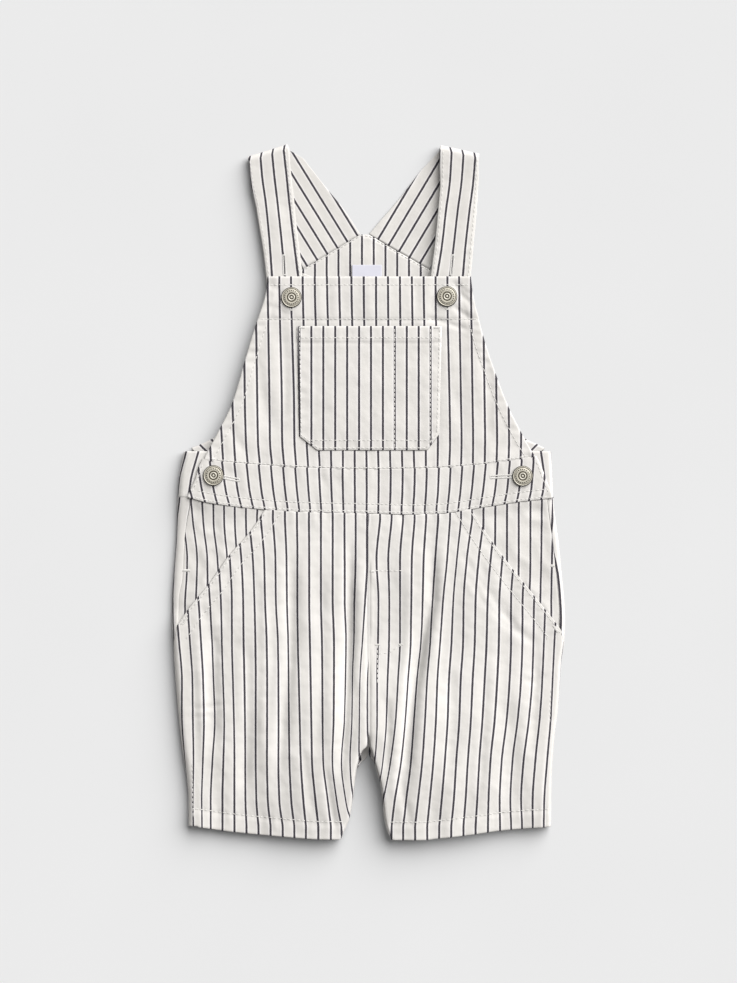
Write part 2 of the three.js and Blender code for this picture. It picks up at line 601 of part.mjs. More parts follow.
function bodice() {
  const low = ARMHOLE.y[0];
  const high = (side) => (side < 0 ? V_SEAM.y[0] : V_SEAM.y.at(-1));
  const end = (side) => (v) => {
    const y = lerp(high(side), low, v ** 0.6);
    return [armhole(side, y), y];
  };
  const [left, right] = [end(-1), end(1)];
  const top = (u) => {
    const x = lerp(V_SEAM.x[0], V_SEAM.x.at(-1), u);
    return [x, vSeam(x) - SEAM / 2];
  };
  const bottom = (u) => [lerp(left(1)[0], right(1)[0], u), BACK_BAND_TOP + SEAM * 1.3];
  const edges = {
    top,
    bottom,
    left: (v) => [left(v)[0], lerp(left(v)[1], bottom(0)[1], v ** 4)],
    right: (v) => [right(v)[0], lerp(right(v)[1], bottom(1)[1], v ** 4)],
  };
  const tip = [V_SEAM.x[1], V_SEAM.x[2]].map((x) => (x - V_SEAM.x[0]) / (V_SEAM.x[3] - V_SEAM.x[0]));
  const across = [0, 0.01, 0.03, 0.12, 0.24, 0.35, ...tip, 0.63, 0.75, 0.88, 0.97, 0.99, 1];
  const grid = patch(edges, across, shares(9), (x, y) => backLevel(Math.sign(x) || 1, x, y));
  addPiece('back_bodice', wallGeometry(grid, 1, evenly(CLOTH), evenly(CLOTH)), COTTON);
}

// Strip that faces the armhole, laid along its edge on the inside of the back
function armholeFacing(side) {
  const low = ARMHOLE.y[0] + 1.2;
  const high = side < 0 ? V_SEAM.y[0] - 3 : V_SEAM.y.at(-1) - 3;
  const edgePoint = (v) => {
    const y = lerp(low, high, v ** 2);
    return new THREE.Vector2(armhole(side, y) - side * 0.4, y);
  };
  const lift = CLOTH + SEAM;
  const grid = shares(11).map((v) => {
    const here = edgePoint(v);
    const ahead = edgePoint(Math.min(1, v + 0.02)).sub(edgePoint(Math.max(0, v - 0.02))).normalize();
    const inward = new THREE.Vector2(-side * Math.abs(ahead.y), -Math.abs(ahead.x));
    return shares(2).map((share) => {
      const point = here.clone().addScaledVector(inward, FACING_WIDTH * share);
      const y = Math.max(point.y, BACK_BAND_TOP + SEAM + (1 - share) * 0.8);
      return new THREE.Vector3(point.x, y, backLevel(side, point.x, y) + lift + 0.5 * (1 - v) ** 3);
    });
  });
  addPiece(`armhole_facing_${column(side, 'left', 'right')}`, wallGeometry(grid, side, evenly(CLOTH), evenly(CLOTH)), COTTON);
}

// Strap: flat up the back, over the shoulder fold and down the front to its end under the bib
function strap(side) {
  const name = column(side, 'left', 'right');
  const { back, fold, front } = STRAPS[name];
  const bend = (STRAP_LEVEL - FLOOR_MID) / 2;
  const [inner, outer] = [new THREE.Vector2(...fold.inner), new THREE.Vector2(...fold.outer)];
  const outward = inner.clone().sub(outer).normalize().rotateAround(new THREE.Vector2(), side < 0 ? Math.PI / 2 : -Math.PI / 2);
  const axis = [inner, outer].map((end) => end.clone().addScaledVector(outward, -bend - CLOTH / 2));
  const section = (a, b, z) => [new THREE.Vector3(a[0], a[1], z), new THREE.Vector3(b[0], b[1], z)];
  const stretch = (columns, z) => columns.inX.map((_, k) => section([columns.inX[k], columns.inY[k]], [columns.outX[k], columns.outY[k]], z));
  const sections = [...stretch(back, FLOOR_MID)];
  const foldSteps = 7;
  for (let k = 0; k <= foldSteps; k += 1) {
    const turn = lerp(-Math.PI / 2, Math.PI / 2, k / foldSteps);
    const ends = axis.map((end) => end.clone().addScaledVector(outward, bend * Math.cos(turn)).toArray());
    sections.push(section(ends[0], ends[1], FLOOR_MID + bend * (1 + Math.sin(turn))));
  }
  sections.push(...stretch(front, STRAP_LEVEL));
  const across = shares(4);
  const grid = sections.map(([a, b], k) => across.map((u) => {
    const point = a.clone().lerp(b, u);
    if (k === 0) point.y = vSeam(point.x) + SEAM / 2;
    return point;
  }));
  addPiece(`strap_${name}`, wallGeometry(grid, side, evenly(CLOTH), evenly(CLOTH)), COTTON);
}

function label() {
  const [left, right, top, bottom] = [-11.5, 9.4, 159.2, 141];
  const level = CLOTH + SEAM + LABEL_CLOTH / 2;
  const edges = {
    top: (u) => [lerp(left, right, u), top],
    bottom: (u) => [lerp(left, right, u), bottom],
    left: (v) => [left, lerp(top, bottom, v)],
    right: (v) => [right, lerp(top, bottom, v)],
  };
  const grid = patch(edges, shares(3), shares(3), () => level);
  addPiece('label', wallGeometry(grid, 1, evenly(LABEL_CLOTH), evenly(LABEL_CLOTH)), LABEL_SATIN);
}

// Tack button: a rimmed round head with a ring and a sunk middle, on a shank
function button({ name, x, y, seat, foot }) {
  const base = seat + SEAM;
  const profile = [
    [0, foot + SEAM], [SHANK_RADIUS, foot + SEAM], [SHANK_RADIUS, base], [BUTTON_RADIUS - 0.6, base],
    [BUTTON_RADIUS, base + 0.8], [BUTTON_RADIUS - 0.5, base + 1.8], [BUTTON_RADIUS - 1.3, base + 1.5],
    [3.9, base + 1.6], [3.4, base + 2.3], [2.4, base + 2.3], [1.9, base + 1.5], [0, base + 1.3],
  ].map(([radius, z]) => new THREE.Vector2(radius, z));
  const geometry = new THREE.LatheGeometry(profile, 20);
  geometry.rotateX(Math.PI / 2);
  geometry.translate(x, y, 0);
  addPiece(name, geometry, PEWTER);
}

for (const side of [-1, 1]) {
  legs(side);
  pocketFacing(side);
  armholeFacing(side);
  strap(side);
}
waistbandFront();
waistbandBack();
bib();
bibPocket();
bodice();
label();
BUTTONS.forEach(button);

export default shortalls;
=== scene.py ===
# Baby shortalls in striped cotton twill, laid flat with the front up
# Sizes and tables are in millimetres. X runs to the right, Y towards the shoulders, Z up.
import math

import bpy
import numpy as np
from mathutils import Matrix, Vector
from mathutils.bvhtree import BVHTree


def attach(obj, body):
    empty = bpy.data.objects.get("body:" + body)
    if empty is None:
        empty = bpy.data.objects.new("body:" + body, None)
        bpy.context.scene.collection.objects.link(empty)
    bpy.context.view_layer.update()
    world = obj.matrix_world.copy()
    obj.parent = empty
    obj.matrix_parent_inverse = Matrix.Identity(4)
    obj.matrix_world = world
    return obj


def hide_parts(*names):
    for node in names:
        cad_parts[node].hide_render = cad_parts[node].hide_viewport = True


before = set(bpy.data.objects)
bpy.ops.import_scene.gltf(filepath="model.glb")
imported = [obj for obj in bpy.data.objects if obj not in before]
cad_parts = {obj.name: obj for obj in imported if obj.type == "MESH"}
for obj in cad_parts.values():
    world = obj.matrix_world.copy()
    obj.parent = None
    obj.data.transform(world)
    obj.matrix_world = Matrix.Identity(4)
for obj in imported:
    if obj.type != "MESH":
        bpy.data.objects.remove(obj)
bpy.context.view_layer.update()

MM = 0.001

# Real sizes of the garment
CLOTH = 0.8  # one layer of twill
SEAM = 0.06  # where two panels butt together at a seam
TUCK = 2.6  # seam allowance that runs on under the neighbouring panel
FLOOR_LEVEL = 0.6  # middle of the layer that lies on the surface
TOP = 9.4  # middle of the front layer
WAISTBAND_LEVEL = 9.6
POCKET_LEVEL = 10.35
LAP_LEVEL = 7.8  # back waistband under the front
FACING_LEVEL = 8.45  # pocket facing, close under the slanted edge
STRAP_LEVEL = 7.6
OUTLINE_INSET = 0.6  # from the outline in to the middle of the turned cloth
INSEAM_ROLL = 1.6
PAST_ROLL = 2.0  # cloth beyond the rolled side that the folds don't reach
SLANT_STRIP = 2.2  # strip along the pocket's slanted edge that lies flat
BACK_WAIST_Y = -4.0
BACK_BAND_TOP = 28.0
TAB_END = 93.0
STRIPES_ROUND = 34  # whole repeats from one end of the back waistband to the other
POCKET_UNDERLAP = 9.0
FRONT_CROTCH_Y = -177.4
BACK_CROTCH_Y = -186.0
LEG_SWELL = 1.2
LEG_CREASE_DEPTH = 1.15
HEM_SAG = 3.0  # the legs slope down to the hem
INSEAM_LIFT = 7.6  # the cloth puffs up towards the crotch and the inseams
BIB_TOP_Y = 150.3
FACING_WIDTH = 11.0
STRIPE_REPEAT = 8.4  # from one woven stripe to the next
STRIPE_WIDTH = 1.5
# The sewing draws these out or in a little
BODICE_REPEAT, FACING_REPEAT, POCKET_REPEAT, STRAP_REPEAT = 8.26, 8.3, 8.34, 8.47
BODICE_STRIPE_X, POCKET_STRIPE_X = -45.9, -48.3  # a stripe stands here
STITCH = 2.8  # topstitch on the face
STITCH_STEP = 3.2
THREAD = 0.58

LEFT, RIGHT = -1, 1
SIDE_ROLL = {LEFT: 4.0, RIGHT: 2.2}  # how far in the rolled side curves
SIDES = {LEFT: "left", RIGHT: "right"}


def table(names, *rows):
    """Rows of numbers as one column for each name."""
    return dict(zip(names.split(), (np.array(column, float) for column in zip(*rows))))


# Outer outline, and how far in from it the side seam shows, at each height
OUTLINE = table("y left right left_seam right_seam",
    (34, -129.0, 127.6, 8.4, 4), (28, -129.8, 128.2, 8.4, 4), (8, -133.3, 129.2, 8.4, 4),
    (-6, -134.0, 129.8, 8.4, 4), (-20, -134.6, 131.4, 6.6, 4), (-34, -135.1, 133.4, 5.4, 4),
    (-60, -137.0, 136.0, 6.0, 4), (-76, -137.9, 137.5, 4.2, 4), (-90, -137.9, 138.2, 4.0, 4),
    (-98, -137.6, 137.9, 2.4, 3), (-106, -137.2, 137.4, 0.5, 0.6), (-120, -136.4, 135.3, 0, 0),
    (-146, -134.4, 133.7, 0, 0), (-174, -131.6, 130.5, 0, 0), (-202, -127.6, 128.6, 0, 0),
    (-216, -126.4, 128.4, 0, 0), (-246, -126.6, 128.0, 0, 0))
# Top of the rolled side, which lies slacker beside the pockets
SIDE_LEVEL = table("y left right", (-4, 7.4, 8.2), (-30, 5.2, 8.45), (-80, 5.2, 8.45), (-97, TOP, TOP))
INSEAM = table("y front_left front_right back_left back_right",
    (-170, 0, 0, 0, 0), (-177, 0, 0, 0, 0), (-181, -3.4, 1.2, 0, 0), (-186, -5.8, 2.6, -0.6, 0.6),
    (-190, -6.8, 3.8, -5.0, 3.4), (-195, -8.0, 5.2, -8.0, 5.2), (-205.5, -9.4, 8.0, -9.4, 8.0),
    (-217, -10.9, 9.5, -10.9, 9.5), (-228.5, -12.9, 10.7, -12.9, 10.7),
    (-236, -15.8, 12.4, -15.8, 12.4), (-246, -20.2, 16.4, -20.2, 16.4))
WAIST_BOTTOM = table("x y",
    (-134, -2), (-127, -3.9), (-113, -7.7), (-81.5, -11.9), (-47.9, -14.3), (0, -15.4),
    (32.5, -16.2), (50, -15.5), (78, -11.5), (105.3, -7.3), (129.2, -4.5), (136, -3.4))
WAIST_TOP = table("x y",
    (-130, 24.6), (-117.9, 23.1), (-101.8, 21), (-77.3, 18.8), (-33.9, 16.4), (1, 15.7),
    (43, 16.4), (73.8, 18.5), (99, 22), (117.9, 24.8), (130, 26.4))
HEM = table("x y",
    (-140, -233.4), (-126.3, -234.1), (-96.9, -238), (-54.9, -241.8), (-33.9, -243.2), (-15, -243.4),
    (15, -243.7), (36, -243.7), (50, -242.5), (71, -240.1), (92, -237.3), (113, -235.5), (140, -234))
SLANT = table("y left right",
    (-5, -68.0, 67.5), (-13, -72.7, 72.4), (-28.3, -82.9, 82.0), (-45, -97.6, 93.8),
    (-64, -111.0, 108.6), (-82.5, -126.0, 123.6), (-92.8, -133.0, 131.6), (-98.3, -137, 135.4))
SLANT_END = {LEFT: -92.8, RIGHT: -98.3}
SLANT_LEAN = 0.75  # distance square to the slant, for one step across
LIFT_REACH = {LEFT: 55.0, RIGHT: 76.0}
SLANT_TURN = {LEFT: (1.5, 0.6), RIGHT: (0.6, 0.1)}  # width and drop of the folded edge
BIB_EDGE = table("y left right",
    (150.4, -70.4, 71.4), (138.9, -71.8, 72.8), (121.4, -77.3, 77.0), (107.4, -82.0, 80.8),
    (91.3, -86.8, 86.2), (63, -95.6, 97.0), (46.5, -103.8, 105.2), (36, -109.5, 111.0),
    (26.9, -114.4, 116.4), (17.8, -118.6, 120.7), (8.5, -121.4, 124.1), (2, -124.4, 126.8),
    (-3.9, -127.0, 129.0), (-8, -128.8, 130.6))
ARMHOLE = table("y left right",
    (29.6, -127.7, 126.4), (33, -118.6, 119.3), (37, -110.2, 110.6), (41.5, -102.2, 102.2),
    (55.6, -87.8, 86.8), (79.4, -74.5, 72.8), (109.5, -61.9, 59.8), (134, -53.5, 51.2),
    (156.4, -45.8, 43.0))
V_SEAM = table("x y", (-45.8, 156.4), (-5.9, 180.6), (0.3, 180.6), (43, 155.8))

# Strap edges: from the V seam up the back, then from the shoulder fold down the front
STRAP_BACK = {
    LEFT: table("in_x in_y out_x out_y", (-5.9, 181.0, -45.9, 156.9), (-16.4, 197.0, -54.9, 175.3),
        (-31.1, 215.2, -66.5, 199.0), (-45.8, 234.1, -78.5, 223.0)),
    RIGHT: table("in_x in_y out_x out_y", (0.5, 181.0, 43.3, 156.3), (8.0, 190.0, 51.4, 176.0),
        (22.0, 206.1, 60.5, 197.0), (36.8, 225.6, 68.9, 217.3)),
}
STRAP_FOLD = {LEFT: ((-57.0, 243.9), (-84.7, 235.2)), RIGHT: ((50.8, 243.2), (77.7, 237.3))}
STRAP_FRONT = {
    LEFT: table("in_x in_y out_x out_y", (-54.6, 223.6, -82.2, 214.5), (-52.5, 205.4, -78.8, 200.5),
        (-50.8, 187.9, -75.9, 183.0), (-48.3, 167.6, -73.1, 165.5), (-46.5, 150.1, -71.3, 149.0),
        (-45.1, 127.0, -69.6, 127.0)),
    RIGHT: table("in_x in_y out_x out_y", (50.4, 214.5, 77.0, 218.0), (48.6, 193.5, 75.6, 196.0),
        (46.5, 172.5, 73.6, 174.5), (44.6, 158.0, 72.2, 158.5), (43.6, 150.1, 71.4, 150.1),
        (41.6, 127.0, 69.6, 127.0)),
}
# Buttons: place, height of the cloth under the head, and height of the cloth that the shank goes into
BUTTONS = {
    "bib_left": (-53.9, 135.8, 10.3, 8.2), "bib_right": (54.9, 136.5, 10.3, 8.2),
    "waist_left": (-108.5, 11.2, 10.6, 8.4), "waist_right": (107.8, 10.8, 10.6, 8.4),
}

# Where every second woven stripe of the front legs runs, counted from the middle out
LEG_STRIPES = {
    LEFT: table("y s0 s2 s4 s6 s8 s10 s12 s14 s16",
        (-20, -1.1, -16.8, -33.3, -50.1, -66.9, -83.7, -100.4, -117, -133.5),
        (-48, -1.1, -16.8, -33.3, -49.7, -65.1, -80.9, -97.0, -113.4, -129.5),
        (-76, -2.5, -16.8, -33.3, -49.7, -64.8, -79.8, -95.6, -111.0, -127.0),
        (-104, -4.2, -15.8, -32.6, -49.4, -63.4, -79.1, -95.6, -109.6, -125.0),
        (-132, -6.0, -16.1, -32.2, -48.7, -63.0, -78.8, -94.9, -108.5, -123.2),
        (-160, -6.3, -16.8, -31.9, -48.0, -63.0, -78.8, -94.2, -107.5, -122.9),
        (-188, -6.7, -18.9, -31.5, -47.3, -63.0, -78.8, -93.8, -109.2, -122.5),
        (-216, -6.0, -15.8, -28.4, -45.5, -62.3, -78.4, -93.8, -110.6, -122.9),
        (-234, -2.0, -11.6, -26.3, -43.8, -59.9, -77.0, -93.8, -110.6, -122.5)),
    RIGHT: table("y s0 s2 s4 s6 s8 s10 s12 s14 s16",
        (-20, 8.1, 24.2, 40.3, 57.1, 72.5, 88.9, 105.0, 121.5, 138),
        (-48, 5.6, 22.1, 38.5, 55.0, 68.6, 85.4, 101.9, 118.4, 134.9),
        (-76, 7.0, 22.1, 37.8, 52.2, 66.5, 83.3, 99.8, 115.9, 132.0),
        (-104, 6.7, 22.1, 36.8, 50.1, 66.2, 82.6, 99.8, 115.5, 130.2),
        (-132, 6.0, 20.7, 34.0, 48.0, 64.4, 81.2, 98.7, 114.5, 128.8),
        (-160, 6.0, 18.9, 31.9, 46.9, 63.4, 79.5, 96.6, 112.0, 127.4),
        (-188, 4.6, 15.4, 29.8, 45.2, 61.3, 77.4, 93.1, 108.5, 125.0),
        (-216, 1.5, 10.2, 26.3, 42.7, 59.5, 76.0, 91.7, 106.8, 122.9),
        (-234, -4.0, 8.1, 24.2, 41.0, 57.8, 74.9, 92.1, 107.5, 122.5)),
}
BIB_STRIPES = table("y s_4 s0 s3 s6 s9 s12 s15 s17 s21",
    (150, -104, -70.6, -46.1, -20.6, 5.3, 30.3, 55.2, 71.6, 105.2),
    (134, -104, -70.4, -45.9, -20.3, 5.3, 30.5, 55.3, 71.8, 105.5),
    (64, -103.8, -69.3, -43.6, -18.2, 6.4, 31.6, 56.7, 72.8, 106.4),
    (36, -102.6, -69.0, -43.3, -18.0, 6.6, 31.6, 57.1, 73.2, 106.8),
    (16, -101.4, -67.2, -42.2, -17.9, 7.0, 32.0, 56.5, 73.0, 106.0))
WAIST_STRIPES = table("y s0 s4 s8 s12 s16 s20 s24 s28",
    (20, -119.5, -85.4, -51.6, -18.2, 15.6, 49.4, 82.2, 115.5),
    (1, -116.6, -83.3, -50.1, -17.9, 15.4, 48.7, 80.2, 113.8),
    (-12, -113.0, -80.6, -48.6, -17.6, 15.0, 47.6, 78.0, 110.6))
FACING_STRIPES = {
    LEFT: table("y s6 s4 s2 s0 s_1",
        (-8, -77.6, -93.7, -108.6, -124.3, -131), (-20, -78.1, -93.6, -108.6, -123.2, -129.9),
        (-48, -77.4, -92.1, -105.7, -120.1, -127.1), (-76, -77, -91, -104.6, -120.8, -128.5)),
    RIGHT: table("y s0 s2 s4 s6", (-8, 80.5, 97, 113.4, 129.4), (-20, 80.5, 97.0, 113.4, 129.2),
        (-48, 80.2, 97, 113.4, 128.5), (-76, 80.2, 96.5, 112.6, 128)),
}
# How far the stripe on the turn of the side leans in from the outline
SIDE_STRIPE = table("y left right",
    (-5, 0.9, 0.2), (-9.5, 0.5, 0.6), (-20, -0.7, 2.1), (-36, -0.8, 5.0), (-48, -1.0, 3.6),
    (-60, -0.6, 2.6), (-97, 0.2, 2.9))
STRAP_STRIPES = {
    LEFT: table("y s1 s3", (243, -76.3, -59.9), (221.6, -74.6, -57.5), (200.6, -71.8, -55.3),
        (179.6, -69.7, -52.9), (150.9, -67.6, -49.3)),
    RIGHT: table("y s0 s2", (243, 58.5, 75.4), (218, 57.1, 73.5), (197, 54.3, 70.8),
        (172.6, 51.5, 68.0), (150.9, 48.0, 66.1)),
}

# Creases pressed in: width, depth and route; a negative depth stands up
LEG_CREASES = {
    LEFT: [
        (4.5, 3.4, [(-12.9, -24), (-13.6, -104), (-16.4, -160), (-20, -212)]),
        (5.5, 2.6, [(-53.5, -30), (-54.2, -104), (-58, -146), (-66, -215)]),
        (5.5, 2.4, [(-108.8, -92), (-109.5, -132), (-107, -190)]),
        (3.5, 1.3, [(-8.5, -130), (-9.5, -165), (-14, -196)]),
        (4.0, 0.9, [(-101, -40), (-100, -56), (-97, -75)]),
        (2.2, 0.7, [(-131, -148.5), (-122, -152), (-108, -151), (-99, -147)]),
        (2.0, 0.5, [(-130, -156), (-120, -158), (-108, -156)]),
        (4.5, 1.1, [(-34, -50), (-33, -120), (-36, -190)]),
        (4.0, 1.0, [(-84, -100), (-84, -160), (-88, -225)]),
        (3.0, 1.0, [(-30, -190), (-27, -216), (-22, -240)]),
        (3.5, 0.9, [(-46, -178), (-42, -205), (-38, -232)]),
        (3.5, -1.0, [(-72, -50), (-72, -120), (-75, -190)]),
        (3.0, -0.7, [(-118, -110), (-116, -160), (-116, -220)]),
        (3.0, 0.8, [(-126, -170), (-121, -200), (-121, -228)]),
        (3.0, 0.6, [(-118, -78), (-112, -92), (-110, -108)]),
    ],
    RIGHT: [
        (5.0, 4.2, [(45, -20), (44.4, -76), (37.4, -104), (31.1, -139), (26.2, -188), (22, -226)]),
        (6.0, 1.5, [(56.7, -120), (58, -160), (56, -210)]),
        (7.0, 1.6, [(97, -140), (101, -190), (100, -225)]),
        (3.5, 0.6, [(74, -40), (86, -70), (103, -96), (122, -112)]),
        (2.6, 0.45, [(60, -34), (76, -60), (92, -84), (108, -98)]),
        (2.6, 0.4, [(66, -52), (80, -76), (98, -96), (118, -104)]),
        (3.5, 1.3, [(12, -140), (14, -175), (12, -205)]),
        (4.5, -1.1, [(30, -50), (28, -110), (23, -160)]),
        (4.0, 1.0, [(82, -115), (80, -165), (78, -220)]),
        (4.0, 1.0, [(118, -110), (117, -150), (114, -195)]),
        (3.0, 0.8, [(20, -190), (24, -212), (30, -236)]),
        (3.0, 0.7, [(4, -60), (5, -90), (4, -125)]),
        (2.4, 0.5, [(126, -128), (116, -134), (108, -131)]),
    ],
}
BACK_CREASES = {
    LEFT: [
        (8, -1.3, [(-30, -60), (-34, -120), (-40, -190)]),
        (7, -0.9, [(-84, -40), (-88, -110), (-80, -200)]),
        (6, -0.8, [(-60, -120), (-58, -170), (-62, -225)]),
    ],
    RIGHT: [
        (8, -1.2, [(34, -50), (38, -130), (32, -200)]),
        (7, -1.0, [(90, -60), (86, -120), (94, -210)]),
        (6, -0.7, [(62, -100), (66, -160), (60, -220)]),
    ],
}
BIB_CREASES = [
    (2.2, 0.9, [(59, 148), (63, 140), (75, 128)]), (2.2, 0.8, [(58, 131), (65, 125), (75, 119)]),
    (2.0, 0.6, [(62, 146), (68, 140), (74, 137)]), (2.0, 0.7, [(38, 123), (54, 118), (74, 112)]),
    (2.4, 0.6, [(48, 128), (44, 122), (36, 117)]),
    (3.0, 0.6, [(-71, 147), (-63, 140), (-60, 130)]), (2.4, 0.5, [(-66, 130), (-60, 125), (-50, 122)]),
    (5.0, 0.9, [(-82, 104), (-74, 70), (-68, 36)]), (5.0, 0.9, [(82, 100), (86, 66), (80, 34)]),
    (4.0, 0.7, [(-60, 116), (-58, 80), (-60, 40)]), (4.0, 0.7, [(66, 108), (62, 70), (66, 36)]),
    (3.5, 0.6, [(-98, 48), (-92, 36), (-84, 24)]), (3.5, 0.6, [(100, 50), (92, 36), (88, 26)]),
]
WAIST_CREASES = [
    (3.0, 0.4, [(-34, 13), (-29, 2), (-30, -10)]), (3.0, 0.4, [(-22, 12), (-19, 1), (-21, -11)]),
    (3.0, 0.4, [(24, 12), (27, 0), (25, -12)]), (3.0, 0.35, [(35, 12), (34, 0), (36, -12)]),
    (3.5, 0.4, [(-96, 17), (-92, 6), (-90, -6)]), (3.5, 0.4, [(93, 18), (89, 6), (88, -6)]),
    (3.0, 0.3, [(-62, 15), (-60, 3), (-61, -9)]), (3.0, 0.3, [(62, 15), (60, 3), (61, -9)]),
]


def smooth(low, high, value):
    """From 0 at the low mark to 1 at the high one, gently at both ends. Swapped marks make it fall."""
    t = np.clip((np.asarray(value, float) - low) / (high - low), 0, 1)
    return t * t * (3 - 2 * t)


def blend(a, b, share):
    return a + (b - a) * share


def hump(value, at, width):
    """A soft bell of height one round a mark."""
    return np.exp(-((value - at) / width) ** 2)


def read(columns, key, name, at):
    """A column of a table at places between its rows, on a smooth curve that doesn't overshoot."""
    places, values = columns[key], columns[name]
    if places[0] > places[-1]:
        places, values = places[::-1], values[::-1]
    slope = np.diff(values) / np.diff(places)
    before, after = slope[:-1], slope[1:]
    total = np.where(before + after == 0, 1, before + after)
    inner = np.where(before * after > 0, 2 * before * after / total, 0)
    tangent = np.concatenate([slope[:1], inner, slope[-1:]])
    at = np.clip(at, places[0], places[-1])
    k = np.clip(np.searchsorted(places, at, side="right") - 1, 0, len(places) - 2)
    width = places[k + 1] - places[k]
    t = (at - places[k]) / width
    return ((1 + 2 * t) * (1 - t) ** 2 * values[k] + t * (1 - t) ** 2 * width * tangent[k]
        + t * t * (3 - 2 * t) * values[k + 1] + t * t * (t - 1) * width * tangent[k + 1])


def outline(side, y):
    """Middle of the cloth at the outer edge of the rolled side."""
    return read(OUTLINE, "y", SIDES[side], y) - side * OUTLINE_INSET


def slant(side, y):
    return read(SLANT, "y", SIDES[side], y)


def bib_edge(side, y):
    return read(BIB_EDGE, "y", SIDES[side], y)


def armhole(side, y):
    return read(ARMHOLE, "y", SIDES[side], y)


def on_stripes(stripes, x, y):
    """Distance across the cloth in millimetres at a place, read between the stripes of a table."""
    names = [name for name in stripes if name != "y"]
    numbers = np.array([float(name[1:].replace("_", "-")) for name in names])
    lines = np.stack([read(stripes, "y", name, y) for name in names])
    order = np.argsort(lines.reshape(len(names), -1)[:, 0])
    lines, numbers = lines[order], numbers[order]
    k = np.clip((lines <= x).sum(axis=0) - 1, 0, len(names) - 2)
    here = np.take_along_axis(lines, k[None], 0)[0]
    ahead = np.take_along_axis(lines, k[None] + 1, 0)[0]
    return STRIPE_REPEAT * blend(numbers[k], numbers[k + 1], (x - here) / (ahead - here))


def crease_height(creases, x, y):
    """Height that the creases add: a trough with the cloth standing up a little on both sides."""
    height = np.zeros_like(x)
    for width, depth, route in creases:
        near, share = np.full(x.shape, np.inf), np.zeros(x.shape)
        for k, (a, b) in enumerate(zip(route[:-1], route[1:])):
            step = np.subtract(b, a)
            t = np.clip(((x - a[0]) * step[0] + (y - a[1]) * step[1]) / (step @ step), 0, 1)
            away = np.hypot(x - a[0] - t * step[0], y - a[1] - t * step[1])
            share = np.where(away < near, (k + t) / (len(route) - 1), share)
            near = np.minimum(near, away)
        fade = smooth(0, 0.2, share) * (1 - smooth(0.75, 1, share))
        q = near / width
        height -= depth * fade * (np.exp(-q * q) - 0.3 * np.exp(-q * q / 5))
    return height


def rumple(x, y, size, seed):
    """Even small unrest of laid cloth, about one unit high, with bumps of the given size."""
    rng = np.random.default_rng(seed)
    height = np.zeros_like(x)
    for _ in range(14):
        turn, phase = rng.uniform(0, math.pi), rng.uniform(0, 2 * math.pi)
        length = size * rng.uniform(0.7, 1.6)
        height += np.sin(2 * math.pi * (x * math.cos(turn) + y * math.sin(turn)) / length + phase)
    return height / 14 ** 0.5


def pucker(along, away, reach, seed, repeat=6.5):
    """Short ripples that a row of stitches draws up along a seam, fading away from it."""
    rng = np.random.default_rng(seed)
    height = np.zeros_like(along)
    for _ in range(5):
        length = repeat * rng.uniform(0.7, 1.7)
        height += np.sin(2 * math.pi * along / length + rng.uniform(0, 2 * math.pi))
    return height / 5 ** 0.5 * np.exp(-(away / reach) ** 2)


def spaced(length, step):
    """Shares from 0 to 1 for points about a step apart, closer together by both ends."""
    near = [d for d in (0, 0.35, 0.8, 1.4, 2.2) if d < length / 3]
    count = max(2, round((length - 2 * near[-1]) / step))
    middle = np.linspace(near[-1], length - near[-1], count + 1)
    return np.concatenate([near[:-1], middle, length - np.array(near[:-1][::-1])]) / length


def edge_distances(points):
    """Distance along the cloth of each point from the left, right, first and last edge of its grid."""
    across = np.zeros(points.shape[:2])
    across[:, 1:] = np.cumsum(np.linalg.norm(np.diff(points, axis=1), axis=2), axis=1)
    down = np.zeros(points.shape[:2])
    down[1:] = np.cumsum(np.linalg.norm(np.diff(points, axis=0), axis=2), axis=0)
    return across, across[:, -1:] - across, down, down[-1:] - down


def turned_edge(distance, radius=1.3, drop=0.45):
    """How far a folded edge curves down in its last millimetre."""
    d = np.clip(distance / radius, 0, 1)
    return -drop * (1 - np.sqrt(1 - (1 - d) ** 2))


def patch(top, bottom, left, right, across, down):
    """Grid between four edges, each a function that gives x and y for its shares."""
    u, v = across[None, :, None], down[:, None, None]
    t, b = (np.stack(edge(across), -1)[None] for edge in (top, bottom))
    l, r = (np.stack(edge(down), -1)[:, None] for edge in (left, right))
    corners = ((1 - u) * (1 - v) * t[:, :1] + u * (1 - v) * t[:, -1:]
        + (1 - u) * v * b[:, :1] + u * v * b[:, -1:])
    return (1 - v) * t + v * b + (1 - u) * l + u * r - corners


def raised(flat, height):
    return np.concatenate([flat, np.broadcast_to(height, flat.shape[:2])[..., None]], axis=-1)


# Colours and finishes

def linear(hex_code):
    """An sRGB hex colour as linear light."""
    parts = (int(hex_code[k:k + 2], 16) / 255 for k in (1, 3, 5))
    return (*(c / 12.92 if c <= 0.04045 else ((c + 0.055) / 1.055) ** 2.4 for c in parts), 1.0)


def socket(sockets, name):
    """The socket in use that has this name or number."""
    if isinstance(name, int):
        return sockets[name]
    return next(s for s in sockets if s.name == name and s.enabled)


def add(material, kind, values=None, links=None, **settings):
    """Adds a node with its settings, its sockets' values and the links from other nodes' main outputs."""
    made = material.node_tree.nodes.new(kind)
    for name, value in settings.items():
        setattr(made, name, value)
    for name, value in (values or {}).items():
        socket(made.inputs, name).default_value = value
    for name, source in (links or {}).items():
        if isinstance(source, bpy.types.Node):
            source = next(s for s in source.outputs if s.enabled)
        material.node_tree.links.new(source, socket(made.inputs, name))
    return made


def new_material(name):
    material = bpy.data.materials.new(name)
    material.use_nodes = True
    material.node_tree.nodes.clear()
    return material


